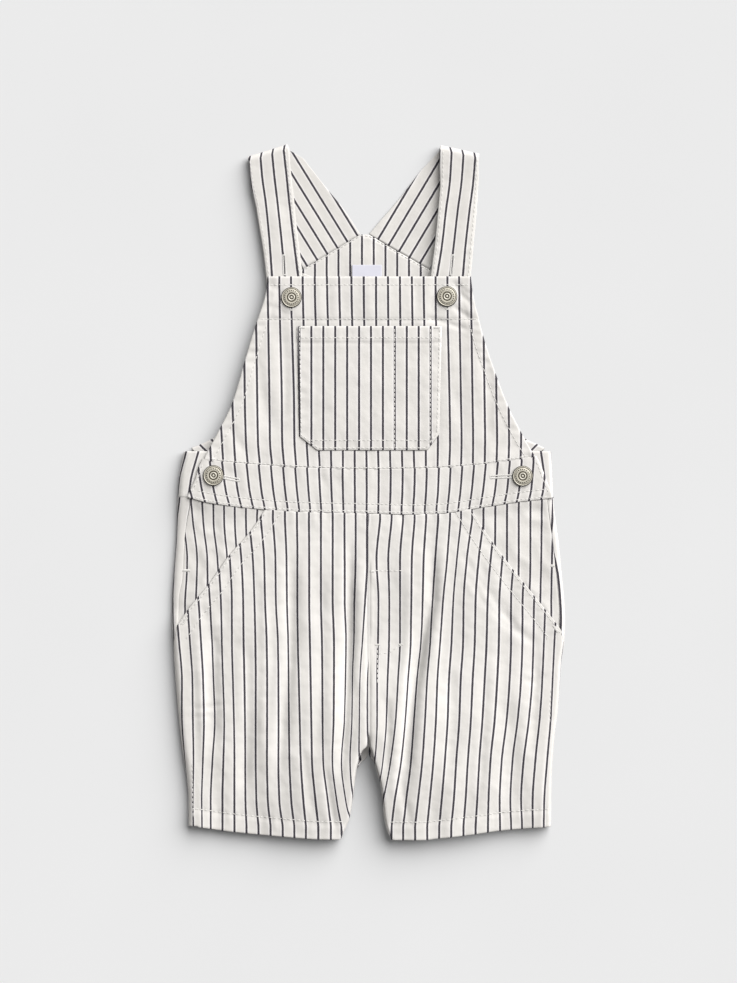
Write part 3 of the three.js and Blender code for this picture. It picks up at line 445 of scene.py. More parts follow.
def finish_material(material, shader, bump=None):
    if bump is not None:
        material.node_tree.links.new(bump.outputs["Normal"], shader.inputs["Normal"])
    add(material, "ShaderNodeOutputMaterial", links={"Surface": shader})
    return material


def striped_twill():
    """Cotton twill, yarn dyed: matt cream ground with navy warp stripes and a fine slanting rib."""
    m = new_material("cotton twill, cream with navy stripes")
    cloth = add(m, "ShaderNodeAttribute", attribute_name="cloth").outputs["Vector"]
    parts = add(m, "ShaderNodeSeparateXYZ", links={0: cloth}).outputs
    # Yarns are uneven, so the stripe wanders by less than a tenth of a millimetre
    stretched = add(m, "ShaderNodeMapping", {"Scale": (0.5, 0.25, 1)}, {"Vector": cloth})
    yarn = add(m, "ShaderNodeTexNoise", {"Scale": 1.0, "Detail": 2.0}, {"Vector": stretched})
    wander = add(m, "ShaderNodeMath", {1: 0.5}, {0: yarn}, operation="SUBTRACT")
    across = add(m, "ShaderNodeMath", {1: 0.28, 2: 0.0},
        {0: wander, 2: parts["X"]}, operation="MULTIPLY_ADD")
    repeats = add(m, "ShaderNodeMath", {1: STRIPE_REPEAT}, {0: across}, operation="DIVIDE")
    shifted = add(m, "ShaderNodeMath", {1: 0.5}, {0: repeats}, operation="ADD")
    fraction = add(m, "ShaderNodeMath", links={0: shifted}, operation="FRACT")
    centred = add(m, "ShaderNodeMath", {1: 0.5}, {0: fraction}, operation="SUBTRACT")
    off = add(m, "ShaderNodeMath", links={0: centred}, operation="ABSOLUTE")
    half = STRIPE_WIDTH / 2 / STRIPE_REPEAT
    stripe = add(m, "ShaderNodeMapRange",
        {"From Min": half * 1.15, "From Max": half * 0.85, "To Min": 0.0, "To Max": 1.0},
        {"Value": off}, interpolation_type="SMOOTHSTEP")
    # Twill rib: 0.6 mm apart in the real cloth, drawn at 0.8 mm so that it shows
    rib_turn = add(m, "ShaderNodeMapping", {"Rotation": (0, 0, math.radians(32))}, {"Vector": cloth})
    rib = add(m, "ShaderNodeTexWave", {"Scale": 0.314 / 0.8, "Distortion": 0.6, "Detail": 1.0},
        {"Vector": rib_turn}, wave_type="BANDS", bands_direction="X")
    # Slubs along the warp, about 0.5 mm by 4 mm
    slub_size = add(m, "ShaderNodeMapping", {"Scale": (2.0, 0.25, 1)}, {"Vector": cloth})
    slub = add(m, "ShaderNodeTexNoise", {"Scale": 1.0, "Detail": 3.0}, {"Vector": slub_size})
    # Broad patches where the laundered cloth is a shade lighter or warmer, about 30 mm
    patchy = add(m, "ShaderNodeTexNoise", {"Scale": 0.03, "Detail": 2.0}, {"Vector": cloth})
    ground = add(m, "ShaderNodeMix", {"A": linear("#ebe7e1"), "B": linear("#f6f2ed")},
        {"Factor": patchy}, data_type="RGBA")
    # The warp is packed tighter beside each stripe, so a pale line 0.8 mm wide runs along both its sides
    beside = add(m, "ShaderNodeMapRange",
        {"From Min": 0.24, "From Max": 0.13, "To Min": 0.0, "To Max": 0.85},
        {"Value": off}, interpolation_type="SMOOTHSTEP")
    ground = add(m, "ShaderNodeMix", {"B": linear("#fffbf9")}, {"Factor": beside, "A": ground},
        data_type="RGBA")
    # Warp tension differs from band to band, so long streaks about 9 mm wide are a shade apart
    streak_size = add(m, "ShaderNodeMapping", {"Scale": (0.11, 0.011, 1)}, {"Vector": cloth})
    streak = add(m, "ShaderNodeTexNoise", {"Scale": 1.0, "Detail": 2.0}, {"Vector": streak_size})
    both = add(m, "ShaderNodeMath", {1: 0.35}, {0: slub, 2: streak}, operation="MULTIPLY_ADD")
    grain = add(m, "ShaderNodeMapRange", {"From Min": 0.4, "From Max": 0.95, "To Min": 0.9, "To Max": 1.04},
        {"Value": both})
    toned = add(m, "ShaderNodeMix", {"Factor": 1.0}, {"A": ground, "B": grain},
        data_type="RGBA", blend_type="MULTIPLY")
    # The pale weft shows through the dyed warp in tiny flecks
    fleck = add(m, "ShaderNodeMapRange", {"From Min": 0.0, "From Max": 1.0, "To Min": 0.88, "To Max": 1.0},
        {"Value": rib})
    dyed = add(m, "ShaderNodeMath", links={0: stripe, 1: fleck}, operation="MULTIPLY")
    colour = add(m, "ShaderNodeMix", {"B": linear("#1c1528")},
        {"Factor": dyed, "A": toned}, data_type="RGBA")
    relief = add(m, "ShaderNodeMath", {1: 0.5}, {0: rib, 2: slub},
        operation="MULTIPLY_ADD")
    weave_bump = add(m, "ShaderNodeBump", {"Strength": 0.35, "Distance": 0.00012}, {"Height": relief})
    wrinkle = add(m, "ShaderNodeTexNoise", {"Scale": 0.09, "Detail": 3.0}, {"Vector": cloth})
    bump = add(m, "ShaderNodeBump", {"Strength": 0.5, "Distance": 0.0009},
        {"Height": wrinkle, "Normal": weave_bump})
    rough = add(m, "ShaderNodeMapRange", {"To Min": 0.82, "To Max": 0.95}, {"Value": slub})
    shader = add(m, "ShaderNodeBsdfPrincipled", {"Sheen Weight": 0.05, "Sheen Roughness": 0.5, "IOR": 1.46,
        "Specular IOR Level": 0.2}, {"Base Color": colour, "Roughness": rough})
    return finish_material(m, shader, bump)


def sewing_thread():
    """Core-spun sewing thread: off-white, slightly glossy, with a twist that shows close up."""
    m = new_material("core-spun thread, off-white")
    place = add(m, "ShaderNodeNewGeometry").outputs["Position"]
    twist = add(m, "ShaderNodeTexWave", {"Scale": 0.314 / 0.0006, "Distortion": 1.0}, {"Vector": place},
        wave_type="BANDS", bands_direction="DIAGONAL")
    shade = add(m, "ShaderNodeMix", {"A": linear("#f1ede7"), "B": linear("#fbf8f3")},
        {"Factor": twist}, data_type="RGBA")
    bump = add(m, "ShaderNodeBump", {"Strength": 0.4, "Distance": 0.00008}, {"Height": twist})
    shader = add(m, "ShaderNodeBsdfPrincipled", {"Roughness": 0.6, "IOR": 1.5, "Sheen Weight": 0.1},
        {"Base Color": shade})
    return finish_material(m, shader, bump)


def label_satin():
    """Woven satin ribbon: cool white, smoother and shinier than the twill."""
    m = new_material("polyester satin, cool white")
    cloth = add(m, "ShaderNodeAttribute", attribute_name="cloth").outputs["Vector"]
    fine = add(m, "ShaderNodeMapping", {"Scale": (0.3, 3.0, 1)}, {"Vector": cloth})
    weft = add(m, "ShaderNodeTexNoise", {"Scale": 1.0, "Detail": 2.0}, {"Vector": fine})
    shade = add(m, "ShaderNodeMix", {"A": linear("#e4e3ef"), "B": linear("#efeef8")},
        {"Factor": weft}, data_type="RGBA")
    bump = add(m, "ShaderNodeBump", {"Strength": 0.3, "Distance": 0.00005}, {"Height": weft})
    shader = add(m, "ShaderNodeBsdfPrincipled", {"Roughness": 0.45, "IOR": 1.55, "Sheen Weight": 0.2},
        {"Base Color": shade})
    return finish_material(m, shader, bump)


def antique_pewter():
    """Plated and pressed brass: pewter face, worn bright on the raised rings, dark in the recesses."""
    m = new_material("plated brass, antique pewter")
    height = add(m, "ShaderNodeAttribute", attribute_name="relief")
    place = add(m, "ShaderNodeNewGeometry").outputs["Position"]
    cloudy = add(m, "ShaderNodeTexNoise", {"Scale": 700.0, "Detail": 4.0}, {"Vector": place})
    worn = add(m, "ShaderNodeMath", {1: 0.35}, {0: cloudy, 2: height}, operation="MULTIPLY_ADD")
    share = add(m, "ShaderNodeMapRange", {"From Min": 0.2, "From Max": 1.0}, {"Value": worn})
    tone = add(m, "ShaderNodeValToRGB", links={"Fac": share})
    ramp = tone.color_ramp
    ramp.elements[0].color = linear("#393328")
    ramp.elements[1].color = linear("#e6e1d3")
    middle = ramp.elements.new(0.45)
    middle.color = linear("#a19985")
    rough = add(m, "ShaderNodeMapRange", {"To Min": 0.75, "To Max": 0.5}, {"Value": share})
    bump = add(m, "ShaderNodeBump", {"Strength": 0.3, "Distance": 0.00008}, {"Height": cloudy})
    shader = add(m, "ShaderNodeBsdfPrincipled", {"Metallic": 0.4},
        {"Base Color": tone.outputs["Color"], "Roughness": rough})
    return finish_material(m, shader, bump)


def pale_backdrop():
    """Matt white paper: almost even, with a faint mottle."""
    m = new_material("seamless paper, white")
    place = add(m, "ShaderNodeNewGeometry").outputs["Position"]
    mottle = add(m, "ShaderNodeTexNoise", {"Scale": 6.0, "Detail": 2.0}, {"Vector": place})
    shade = add(m, "ShaderNodeMix", {"A": linear("#ededed"), "B": linear("#f1f1f1")},
        {"Factor": mottle}, data_type="RGBA")
    shader = add(m, "ShaderNodeBsdfPrincipled", {"Roughness": 0.95, "Specular IOR Level": 0.1},
        {"Base Color": shade})
    return finish_material(m, shader)


TWILL, THREAD_WHITE = striped_twill(), sewing_thread()
SATIN, PEWTER = label_satin(), antique_pewter()


# Meshes

def new_piece(name, vertices, faces, material, nodes):
    mesh = bpy.data.meshes.new(name)
    mesh.from_pydata([tuple(p) for p in np.asarray(vertices) * MM], [], [tuple(f) for f in faces])
    mesh.materials.append(material)
    mesh.shade_smooth()
    piece = bpy.data.objects.new(name, mesh)
    bpy.context.scene.collection.objects.link(piece)
    # The cloth is hidden from diffuse rays, so the light it throws back never reaches the paper
    piece.visible_diffuse = False
    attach(piece, "root")
    if nodes:
        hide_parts(*nodes)
    return piece


def normals_of(points, facing):
    across, down = np.gradient(points, axis=1), np.gradient(points, axis=0)
    normal = np.cross(down, across) * facing
    return normal / np.maximum(np.linalg.norm(normal, axis=2, keepdims=True), 1e-9)


panels = {}


def lay_panel(node, points, cloth_x, facing, cloth_y=None, thickness=CLOTH, material=TWILL):
    """A panel as a thin closed shell round the middle of its cloth, its face side kept for the sewing."""
    rows, columns = points.shape[:2]
    cells = np.arange(rows * columns).reshape(rows, columns)
    quads = np.stack([cells[:-1, :-1], cells[1:, :-1], cells[1:, 1:], cells[:-1, 1:]], -1).reshape(-1, 4)
    if facing < 0:
        quads = quads[:, ::-1]
    piece = new_piece(f"{node}_cloth", points.reshape(-1, 3), quads, material, [node])
    place = np.zeros((rows, columns, 3), np.float32)
    place[..., 0] = cloth_x
    place[..., 1] = points[..., 1] if cloth_y is None else cloth_y
    attribute = piece.data.attributes.new("cloth", "FLOAT_VECTOR", "POINT")
    attribute.data.foreach_set("vector", place.ravel())
    shell = piece.modifiers.new("thickness", "SOLIDIFY")
    shell.thickness = thickness * MM
    shell.offset = 0
    shell.use_even_offset = False
    face = points + normals_of(points, facing) * thickness / 2
    tree = BVHTree.FromPolygons([Vector(p) for p in face.reshape(-1, 3)], quads.tolist())
    panels[node] = (piece, tree)


# Legs

LEG_TOP, LEG_BOTTOM = -15.0, -240.0
WAIST_PULL, HEM_PULL = -62.0, -190.0  # rows between these heights run level
LEG_HEIGHTS = np.concatenate([LEG_TOP + TUCK * np.array([1, 0.7, 0.4, 0.2]),
    blend(LEG_TOP, LEG_BOTTOM, spaced(LEG_TOP - LEG_BOTTOM, 1.5))])


def leg_y(nominal, x, waist_y=None):
    """Height of a leg's row at a place across it: the first follows the waist seam, the last the hem."""
    waist_y = read(WAIST_BOTTOM, "x", "y", x) if waist_y is None else waist_y
    near_waist = np.clip((nominal - WAIST_PULL) / (LEG_TOP - WAIST_PULL), 0, 1)
    near_hem = np.clip((nominal - HEM_PULL) / (LEG_BOTTOM - HEM_PULL), 0, 1)
    return (nominal + (waist_y - SEAM / 2 - LEG_TOP) * near_waist
        + (read(HEM, "x", "y", x) - LEG_BOTTOM) * near_hem)


def roll_sizes(side, top):
    """Half the height of a rolled side, its mean radius and its length along the cloth."""
    rise = (top - FLOOR_LEVEL) / 2
    mean = (SIDE_ROLL[side] + rise) / 2
    return rise, mean, math.pi * mean


def on_side(side, y, along, top):
    """Points on the rolled side, a distance along the cloth from where it leaves the surface."""
    rise, mean, length = roll_sizes(side, top)
    turn = np.minimum(along, length) / mean - math.pi / 2
    depth = SIDE_ROLL[side]
    inward = np.where(along > length, depth + along - length, depth * (1 - np.cos(turn)))
    z = np.where(along > length, top, FLOOR_LEVEL + rise * (1 + np.sin(turn)))
    return outline(side, y) - side * inward, z


def seam_along(side, y, top):
    """How far along the cloth the side seam lies from where the rolled side leaves the surface."""
    _, mean, length = roll_sizes(side, top)
    inset = read(OUTLINE, "y", SIDES[side] + "_seam", y)
    if inset >= SIDE_ROLL[side]:
        return length + inset - SIDE_ROLL[side]
    return (math.acos(1 - inset / SIDE_ROLL[side]) + math.pi / 2) * mean


def inner_edge(side, y, face, turned):
    """Middle of the cloth at the centre seam, and where it has turned under, at the inseam."""
    gap = SEAM / 2 + OUTLINE_INSET * min(1, turned * 4)
    return read(INSEAM, "y", f"{face}_{SIDES[side]}", y) + side * gap


INSEAM_RISE = (TOP - FLOOR_LEVEL) / 2
SEAM_TURN = SEAM / 2 / INSEAM_RISE


def front_leg(side):
    """From the pocket's slanted edge, or the side seam below it, to the turn of the inseam."""
    rows, flats = [], []
    outer_shares, inner_shares = np.linspace(0, 1, 9), np.linspace(0, 1, 8)[1:]
    shares = np.linspace(0, 1, 82)[1:]
    _, _, length = roll_sizes(side, TOP)
    for nominal in LEG_HEIGHTS:
        on_slant = nominal >= SLANT_END[side]
        edge = slant(side, nominal) if on_slant else outline(side, nominal)
        outer_y = leg_y(nominal, edge)
        inner_y = leg_y(nominal, inner_edge(side, nominal, "front", 1))
        turned = 1 - smooth(FRONT_CROTCH_Y - 6, FRONT_CROTCH_Y + 10, inner_y)
        inner_x = inner_edge(side, inner_y, "front", turned)
        if on_slant:
            reached = SLANT_STRIP
            outer_x = slant(side, outer_y) - side * SLANT_STRIP * outer_shares
            outer_z = np.full_like(outer_x, TOP)
            outer_rows = leg_y(nominal, outer_x)
        else:
            first = seam_along(side, outer_y, TOP) + SEAM / 2
            reached = length + PAST_ROLL - first
            along_roll = blend(first, length + PAST_ROLL, outer_shares)
            outer_x, outer_z = on_side(side, outer_y, along_roll, TOP)
            outer_rows = np.full_like(outer_x, outer_y)
        start, stop = outer_x[-1], inner_x + side * INSEAM_ROLL
        x = blend(start, stop, shares)
        y = leg_y(nominal, x)
        fade = smooth(0, 0.08, shares) * (1 - smooth(0.92, 1, shares) * turned)
        across = np.clip((x - start) / (stop - start), 0, 1)
        swell = LEG_SWELL * np.sin(math.pi * across) * (1 - smooth(-70, -14, y))
        # Creases, then the long, broad and fine unrest of laid cloth
        below_waist = 1 - smooth(-30, -14, y)
        relief = LEG_CREASE_DEPTH * crease_height(LEG_CREASES[side], x, y) * below_waist * fade
        relief += 0.42 * rumple(x, 0.25 * y, 24, 3 + side) * fade * (1 - smooth(-60, -16, y))
        relief += 0.16 * rumple(x, y, 26, 5 + side) * fade + 0.07 * rumple(x, y, 9, 8 + side) * fade
        rise = smooth(-95, -175, y) * (1 - 0.35 * smooth(-195, -240, y))
        puff = INSEAM_LIFT * rise * hump(x, stop, LIFT_REACH[side])
        sag = HEM_SAG * np.clip((-140 - y) / 100, 0, 1) ** 2 * smooth(0, 0.2, shares)
        z = TOP + relief + swell * fade + puff - sag
        crest = puff[-1] - sag[-1]
        turn = blend(math.pi / 2, SEAM_TURN, inner_shares)
        roll_x = inner_x + side * INSEAM_ROLL * (1 - np.cos(turn))
        roll_z = TOP + crest - turned * (INSEAM_RISE + crest) * (1 - np.sin(turn))
        rows.append(np.stack([np.concatenate([outer_x, x, roll_x]),
            np.concatenate([outer_rows, y, np.full_like(roll_x, inner_y)]),
            np.concatenate([outer_z, z, roll_z])], -1))
        spread = INSEAM_ROLL * blend(1, math.pi / 2, turned) * inner_shares
        flats.append(np.concatenate([start + side * reached * (1 - outer_shares), x, stop - side * spread]))
    points = np.array(rows)
    x, y, z = (points[..., k] for k in range(3))
    _, _, from_waist, from_hem = edge_distances(points)
    from_waist -= TUCK
    from_slant = np.where(y > SLANT_END[side] - 3, np.abs(slant(side, y) - x), 99)
    z += turned_edge(from_waist, 1.3, 0.3) - 0.55 * smooth(0, 0.9, -from_waist)
    z += turned_edge(from_slant * SLANT_LEAN, *SLANT_TURN[side]) + turned_edge(from_hem, 1.3, 0.35)
    # The turned-up hem stands a little higher, with a dip under its stitches
    z += 0.13 * pucker(x, from_hem - 11, 5, 21 + side)
    z += 0.22 * (1 - smooth(9, 11.5, from_hem)) - 0.16 * hump(from_hem, 11.8, 1.2)
    z += 0.12 * pucker(x, from_waist - 1, 7, 31 + side)
    z += 0.12 * pucker(y, from_slant - 5, 5, 41 + side) * (from_slant < 90)
    z -= 0.12 * hump(from_slant * SLANT_LEAN, 10.3, 1.2)
    cloth_x = on_stripes(LEG_STRIPES[side], np.array(flats), y)
    lay_panel(f"front_leg_{SIDES[side]}", points, cloth_x, -side)


def back_leg(side):
    """From the turn of the inseam under the leg, round the side and up to the side seam."""
    rows = []
    for nominal in blend(LEG_TOP, LEG_BOTTOM, spaced(LEG_TOP - LEG_BOTTOM, 2.4)):
        inner_y = leg_y(nominal, inner_edge(side, nominal, "back", 1), BACK_WAIST_Y)
        outer_y = leg_y(nominal, outline(side, nominal), BACK_WAIST_Y)
        turned = 1 - smooth(BACK_CROTCH_Y - 8, BACK_CROTCH_Y, inner_y)
        inner_x = inner_edge(side, inner_y, "back", turned)
        turn = -blend(SEAM_TURN, math.pi / 2, np.linspace(0, 1, 8)[:-1])
        roll_x = inner_x + side * INSEAM_ROLL * (1 - np.cos(turn))
        roll_z = FLOOR_LEVEL + turned * INSEAM_RISE * (1 + np.sin(turn))
        first, last = inner_x + side * INSEAM_ROLL, on_side(side, outer_y, 0.0, TOP)[0]
        x = blend(first, last, np.linspace(0, 1, 50)[:-1])
        y = leg_y(nominal, x, BACK_WAIST_Y)
        share = (x - first) / (last - first)
        relief = np.maximum(crease_height(BACK_CREASES[side], x, y), 0) * (1 - smooth(-40, -14, y))
        relief *= smooth(0, 0.1, share) * (1 - smooth(0.9, 1, share))
        top = read(SIDE_LEVEL, "y", SIDES[side], outer_y)
        seam = seam_along(side, outer_y, top) - SEAM / 2
        side_x, side_z = on_side(side, outer_y, seam * np.linspace(0, 1, 18), top)
        rows.append(np.stack([np.concatenate([roll_x, x, side_x]),
            np.concatenate([np.full_like(roll_x, inner_y), y, np.full_like(side_x, outer_y)]),
            np.concatenate([roll_z, FLOOR_LEVEL + relief, side_z])], -1))
    points = np.array(rows)
    _, to_seam, _, _ = edge_distances(points)
    seam_x, seam_y = points[:, -1:, 0], points[:, -1:, 1]
    points[..., 2] += turned_edge(to_seam, 1.2, 0.12) * (points[..., 2] > 5)
    # The first stripe stands on the turn of the side, and leans out of sight lower down
    lean = read(SIDE_STRIPE, "y", SIDES[side], seam_y) - np.abs(outline(side, seam_y) - seam_x)
    lay_panel(f"back_leg_{SIDES[side]}", points, to_seam + lean, side)


FACING_SHARES = spaced(60, 1.8)


def pocket_facing(side):
    """Corner of cloth inside the slanted pocket, a layer lower than the front."""
    rows = []
    for nominal in np.concatenate([[LEG_TOP + TUCK], blend(LEG_TOP, SLANT_END[side] - 1, spaced(80, 1.6))]):
        y = leg_y(nominal, outline(side, nominal))
        top = min(read(SIDE_LEVEL, "y", SIDES[side], y), FACING_LEVEL)
        seam_x, seam_z = on_side(side, y, seam_along(side, y, top) + SEAM / 2, top)
        inner = slant(side, nominal) - side * POCKET_UNDERLAP
        x = blend(seam_x, inner, FACING_SHARES)
        level = blend(seam_z, FACING_LEVEL, np.minimum(1, FACING_SHARES * 1.5))
        rows.append(np.stack([x, leg_y(nominal, x), level], -1))
    points = np.array(rows)
    x, y, z = (points[..., k] for k in range(3))
    from_side, _, from_waist, _ = edge_distances(points)
    from_waist -= TUCK
    outside = side * (x - slant(side, y))
    z -= 0.45 * np.abs(rumple(x, y, 22, 51 + side)) * (smooth(0, 6, from_side) * smooth(0, 8, from_waist))
    z += turned_edge(from_side, 1.2, 0.12) - 0.55 * smooth(0, 0.9, -from_waist)
    z += 0.65 * (1 - smooth(0, 8, from_waist)) * smooth(1, 7, outside)
    z += 0.12 * pucker(x, from_waist - 2, 6, 61 + side)
    lay_panel(f"pocket_facing_{SIDES[side]}", points, on_stripes(FACING_STRIPES[side], x, y), -side)


# Waistbands

def waistband_front():
    """One curved band between the bib and the legs."""
    across, down = spaced(250, 1.3), spaced(28, 0.9)

    def end(side):
        low, high = read(WAIST_BOTTOM, "x", "y", side * 128), read(WAIST_TOP, "x", "y", side * 119)
        return lambda v: (bib_edge(side, blend(high, low, v)), blend(high, low, v))

    def seam(columns, v, shift):
        def edge(u):
            x = blend(end(LEFT)(v)[0], end(RIGHT)(v)[0], u)
            return x, read(columns, "x", "y", x) + shift
        return edge

    top, bottom = seam(WAIST_TOP, 0, -SEAM / 2), seam(WAIST_BOTTOM, 1, SEAM / 2)

    def side_edge(side):
        u = 0 if side < 0 else 1
        return lambda v: (end(side)(v)[0], blend(top(u)[1], bottom(u)[1], v))

    flat = patch(top, bottom, side_edge(LEFT), side_edge(RIGHT), across, down)
    x, y = flat[..., 0], flat[..., 1]
    points = raised(flat, WAISTBAND_LEVEL + crease_height(WAIST_CREASES, x, y))
    from_left, from_right, from_top, from_bottom = edge_distances(points)
    ends = np.minimum(from_left, from_right)
    relief = turned_edge(from_top, 0.7, 0.04) + turned_edge(from_bottom, 1.2, 0.3)
    relief = relief + turned_edge(ends, 1.5, 0.5)
    relief += 0.13 * pucker(x, from_bottom - 4, 5, 71) + 0.1 * pucker(x, from_top - 2, 6, 72)
    relief += 0.12 * rumple(x, y, 20, 73) * smooth(0, 4, ends)
    relief -= 0.12 * hump(from_bottom, 2, 0.8) + 0.12 * hump(from_bottom, 6.6, 0.8)
    points[..., 2] += relief
    lay_panel("waistband_front", points, on_stripes(WAIST_STRIPES, x, y), 1)


def waistband_back():
    """Under the front at the left, round both sides, and under the front at the right."""
    rows, clothes = [], []
    for v in spaced(32, 1.2):
        y = BACK_WAIST_Y + blend(BACK_BAND_TOP - BACK_WAIST_Y - SEAM / 2, SEAM / 2, v)
        halves = {}
        for side in SIDES:
            _, _, length = roll_sizes(side, LAP_LEVEL)
            tab = abs(outline(side, y)) - SIDE_ROLL[side] - TAB_END
            from_end = np.concatenate([length + tab * (1 - np.linspace(0, 1, 20)),
                length * (1 - np.linspace(0, 1, 22)[1:])])
            halves[side] = *on_side(side, y, from_end, LAP_LEVEL), length - from_end
        (left_x, left_z, left_cloth), (right_x, right_z, right_cloth) = halves.values()
        middle = blend(left_x[-1], right_x[-1], np.linspace(0, 1, 90)[1:-1])
        x = np.concatenate([left_x, middle, right_x[::-1]])
        z = np.concatenate([left_z, np.full_like(middle, FLOOR_LEVEL), right_z[::-1]])
        rows.append(np.stack([x, np.full_like(x, y), z], -1))
        # The side stripes lean a little, and whole repeats run from one end to the other
        lean = 4.6 + 0.09 * (y - 12)
        left, right = left_cloth + lean, STRIPES_ROUND * STRIPE_REPEAT - right_cloth - lean + 1.4
        across = np.linspace(left[-1], right[-1], len(middle) + 2)[1:-1]
        clothes.append(np.concatenate([left, across, right[::-1]]))
    points = np.array(rows)
    _, _, from_top, from_bottom = edge_distances(points)
    points[..., 2] += (turned_edge(from_top) + turned_edge(from_bottom)) * (points[..., 2] > 4)
    points[..., 2] += 0.1 * pucker(points[..., 0], from_top - 3, 6, 81) * (points[..., 2] > 7)
    lay_panel("waistband_back", points, np.array(clothes), 1)


# Bib and its pocket

def bib():
    """From the turned top down to the waistband, and a little way under it."""
    across, down = spaced(190, 1.25), spaced(132, 1.1)
    foot = {side: read(WAIST_TOP, "x", "y", side * 119) for side in SIDES}

    def bottom(u):
        x = blend(bib_edge(LEFT, foot[LEFT]), bib_edge(RIGHT, foot[RIGHT]), u)
        return x, read(WAIST_TOP, "x", "y", x) + SEAM / 2 - TUCK

    def top(u):
        return blend(bib_edge(LEFT, BIB_TOP_Y), bib_edge(RIGHT, BIB_TOP_Y), u), np.full_like(u, BIB_TOP_Y)

    def side_edge(side):
        low = bottom(0.0 if side < 0 else 1.0)[1]
        return lambda v: (bib_edge(side, blend(BIB_TOP_Y, foot[side], v)), blend(BIB_TOP_Y, low, v))

    flat = patch(top, bottom, side_edge(LEFT), side_edge(RIGHT), across, down)
    x, y = flat[..., 0], flat[..., 1]
    points = raised(flat, TOP + crease_height(BIB_CREASES, x, y))
    from_left, from_right, from_top, from_bottom = edge_distances(points)
    sides = np.minimum(from_left, from_right)
    across_pocket = smooth(-52, -46, x) * (1 - smooth(47, 53, x))
    inside_pocket = across_pocket * smooth(26, 32, y) * (1 - smooth(112, 118, y))
    relief = 0.16 * rumple(x, y, 30, 91) + 0.06 * rumple(x, y, 9, 92)
    relief += 0.12 * pucker(x, from_top - 15, 16, 93, 9) + 0.12 * pucker(y, sides - 3.5, 4, 94)
    relief += 0.12 * pucker(x, from_bottom - 4, 6, 95) + 0.2 * (1 - smooth(TUCK, TUCK + 6, from_bottom))
    # The turned top and sides lie double, up to a dip under their stitches
    relief += 0.25 * (1 - smooth(28.4, 30.2, from_top)) - 0.2 * hump(from_top, 30.4, 1.0)
    relief += 0.15 * (1 - smooth(6.6, 8.0, sides)) - 0.14 * hump(sides, 7.6, 0.9)
    points[..., 2] += relief * (1 - 0.9 * inside_pocket) - 0.25 * inside_pocket
    points[..., 2] += turned_edge(from_top) + turned_edge(sides, 1.3, 0.35)
    points[..., 2] -= 0.8 * smooth(0, 1.2, TUCK - from_bottom)
    lay_panel("bib_front", points, on_stripes(BIB_STRIPES, x, y), 1)


POCKET_TOP, POCKET_FOOT = 115.5, 29.0
PEN_ROW, SIDE_ROW = 18.2, 43.4  # upright rows of stitches on the pocket


def bib_pocket():
    """A patch with a turned top and both lower corners cut off."""
    across, down = spaced(101, 1.0), spaced(86, 1.0)
    corner = 0.84  # share of the side's length above the cut corner
    left_x, right_x, foot_left, foot_right = -49.7, 51.1, -36, 40.9

    def bent(start, middle, end):
        def edge(v):
            upper = v <= corner
            t = np.where(upper, v / corner, (v - corner) / (1 - corner))
            return tuple(np.where(upper, blend(a, b, t), blend(b, c, t))
                for a, b, c in zip(start, middle, end))
        return edge

    flat = patch(lambda u: (blend(left_x, right_x, u), np.full_like(u, POCKET_TOP)),
        lambda u: (blend(foot_left, foot_right, u), np.full_like(u, POCKET_FOOT)),
        bent((left_x, POCKET_TOP), (-48.3, 38.8), (foot_left, POCKET_FOOT)),
        bent((right_x, POCKET_TOP), (49.3, 40.2), (foot_right, POCKET_FOOT)), across, down)
    x, y = flat[..., 0], flat[..., 1]
    points = raised(flat, POCKET_LEVEL)
    from_left, from_right, from_top, from_bottom = edge_distances(points)
    sides = np.minimum(from_left, from_right)
    bulge = 0.5 * np.cos(math.pi * x / 110) * smooth(29, 60, y) * (1 - smooth(90, 118, y))
    relief = np.maximum(bulge, 0) + 0.14 * rumple(x, y, 24, 101) + 0.05 * rumple(x, y, 8, 102)
    relief += 0.1 * pucker(x, from_top - 5, 5, 103) + 0.1 * pucker(y, sides - 2, 4, 104)
    relief += 0.1 * pucker(x, from_bottom - 5, 5, 105)
    relief += 0.28 * (1 - smooth(10.0, 11.2, from_top)) - 0.16 * hump(from_top, 11.6, 0.9)
    relief -= 0.14 * hump(x, PEN_ROW, 1.2) + 0.1 * hump(x, SIDE_ROW, 1.2)
    relief += turned_edge(from_top, 1.3, 0.4) + turned_edge(sides, 1.3, 0.45)
    points[..., 2] += relief + turned_edge(from_bottom, 1.3, 0.45)
    lay_panel("bib_pocket", points, (x - POCKET_STRIPE_X) * STRIPE_REPEAT / POCKET_REPEAT, 1)


# Back, seen above the bib

def back_level(side, x, y):
    """The back's corner starts to rise where the side rolls up."""
    inward = np.clip(np.abs(outline(side, y) - x) / SIDE_ROLL[side], 0, 1)
    rise = roll_sizes(side, LAP_LEVEL)[0]
    return FLOOR_LEVEL + rise * (1 - np.sqrt(1 - (1 - inward) ** 2))


def v_seam(x):
    """Height of the seam where the straps meet the bodice."""
    return np.interp(x, V_SEAM["x"], V_SEAM["y"])


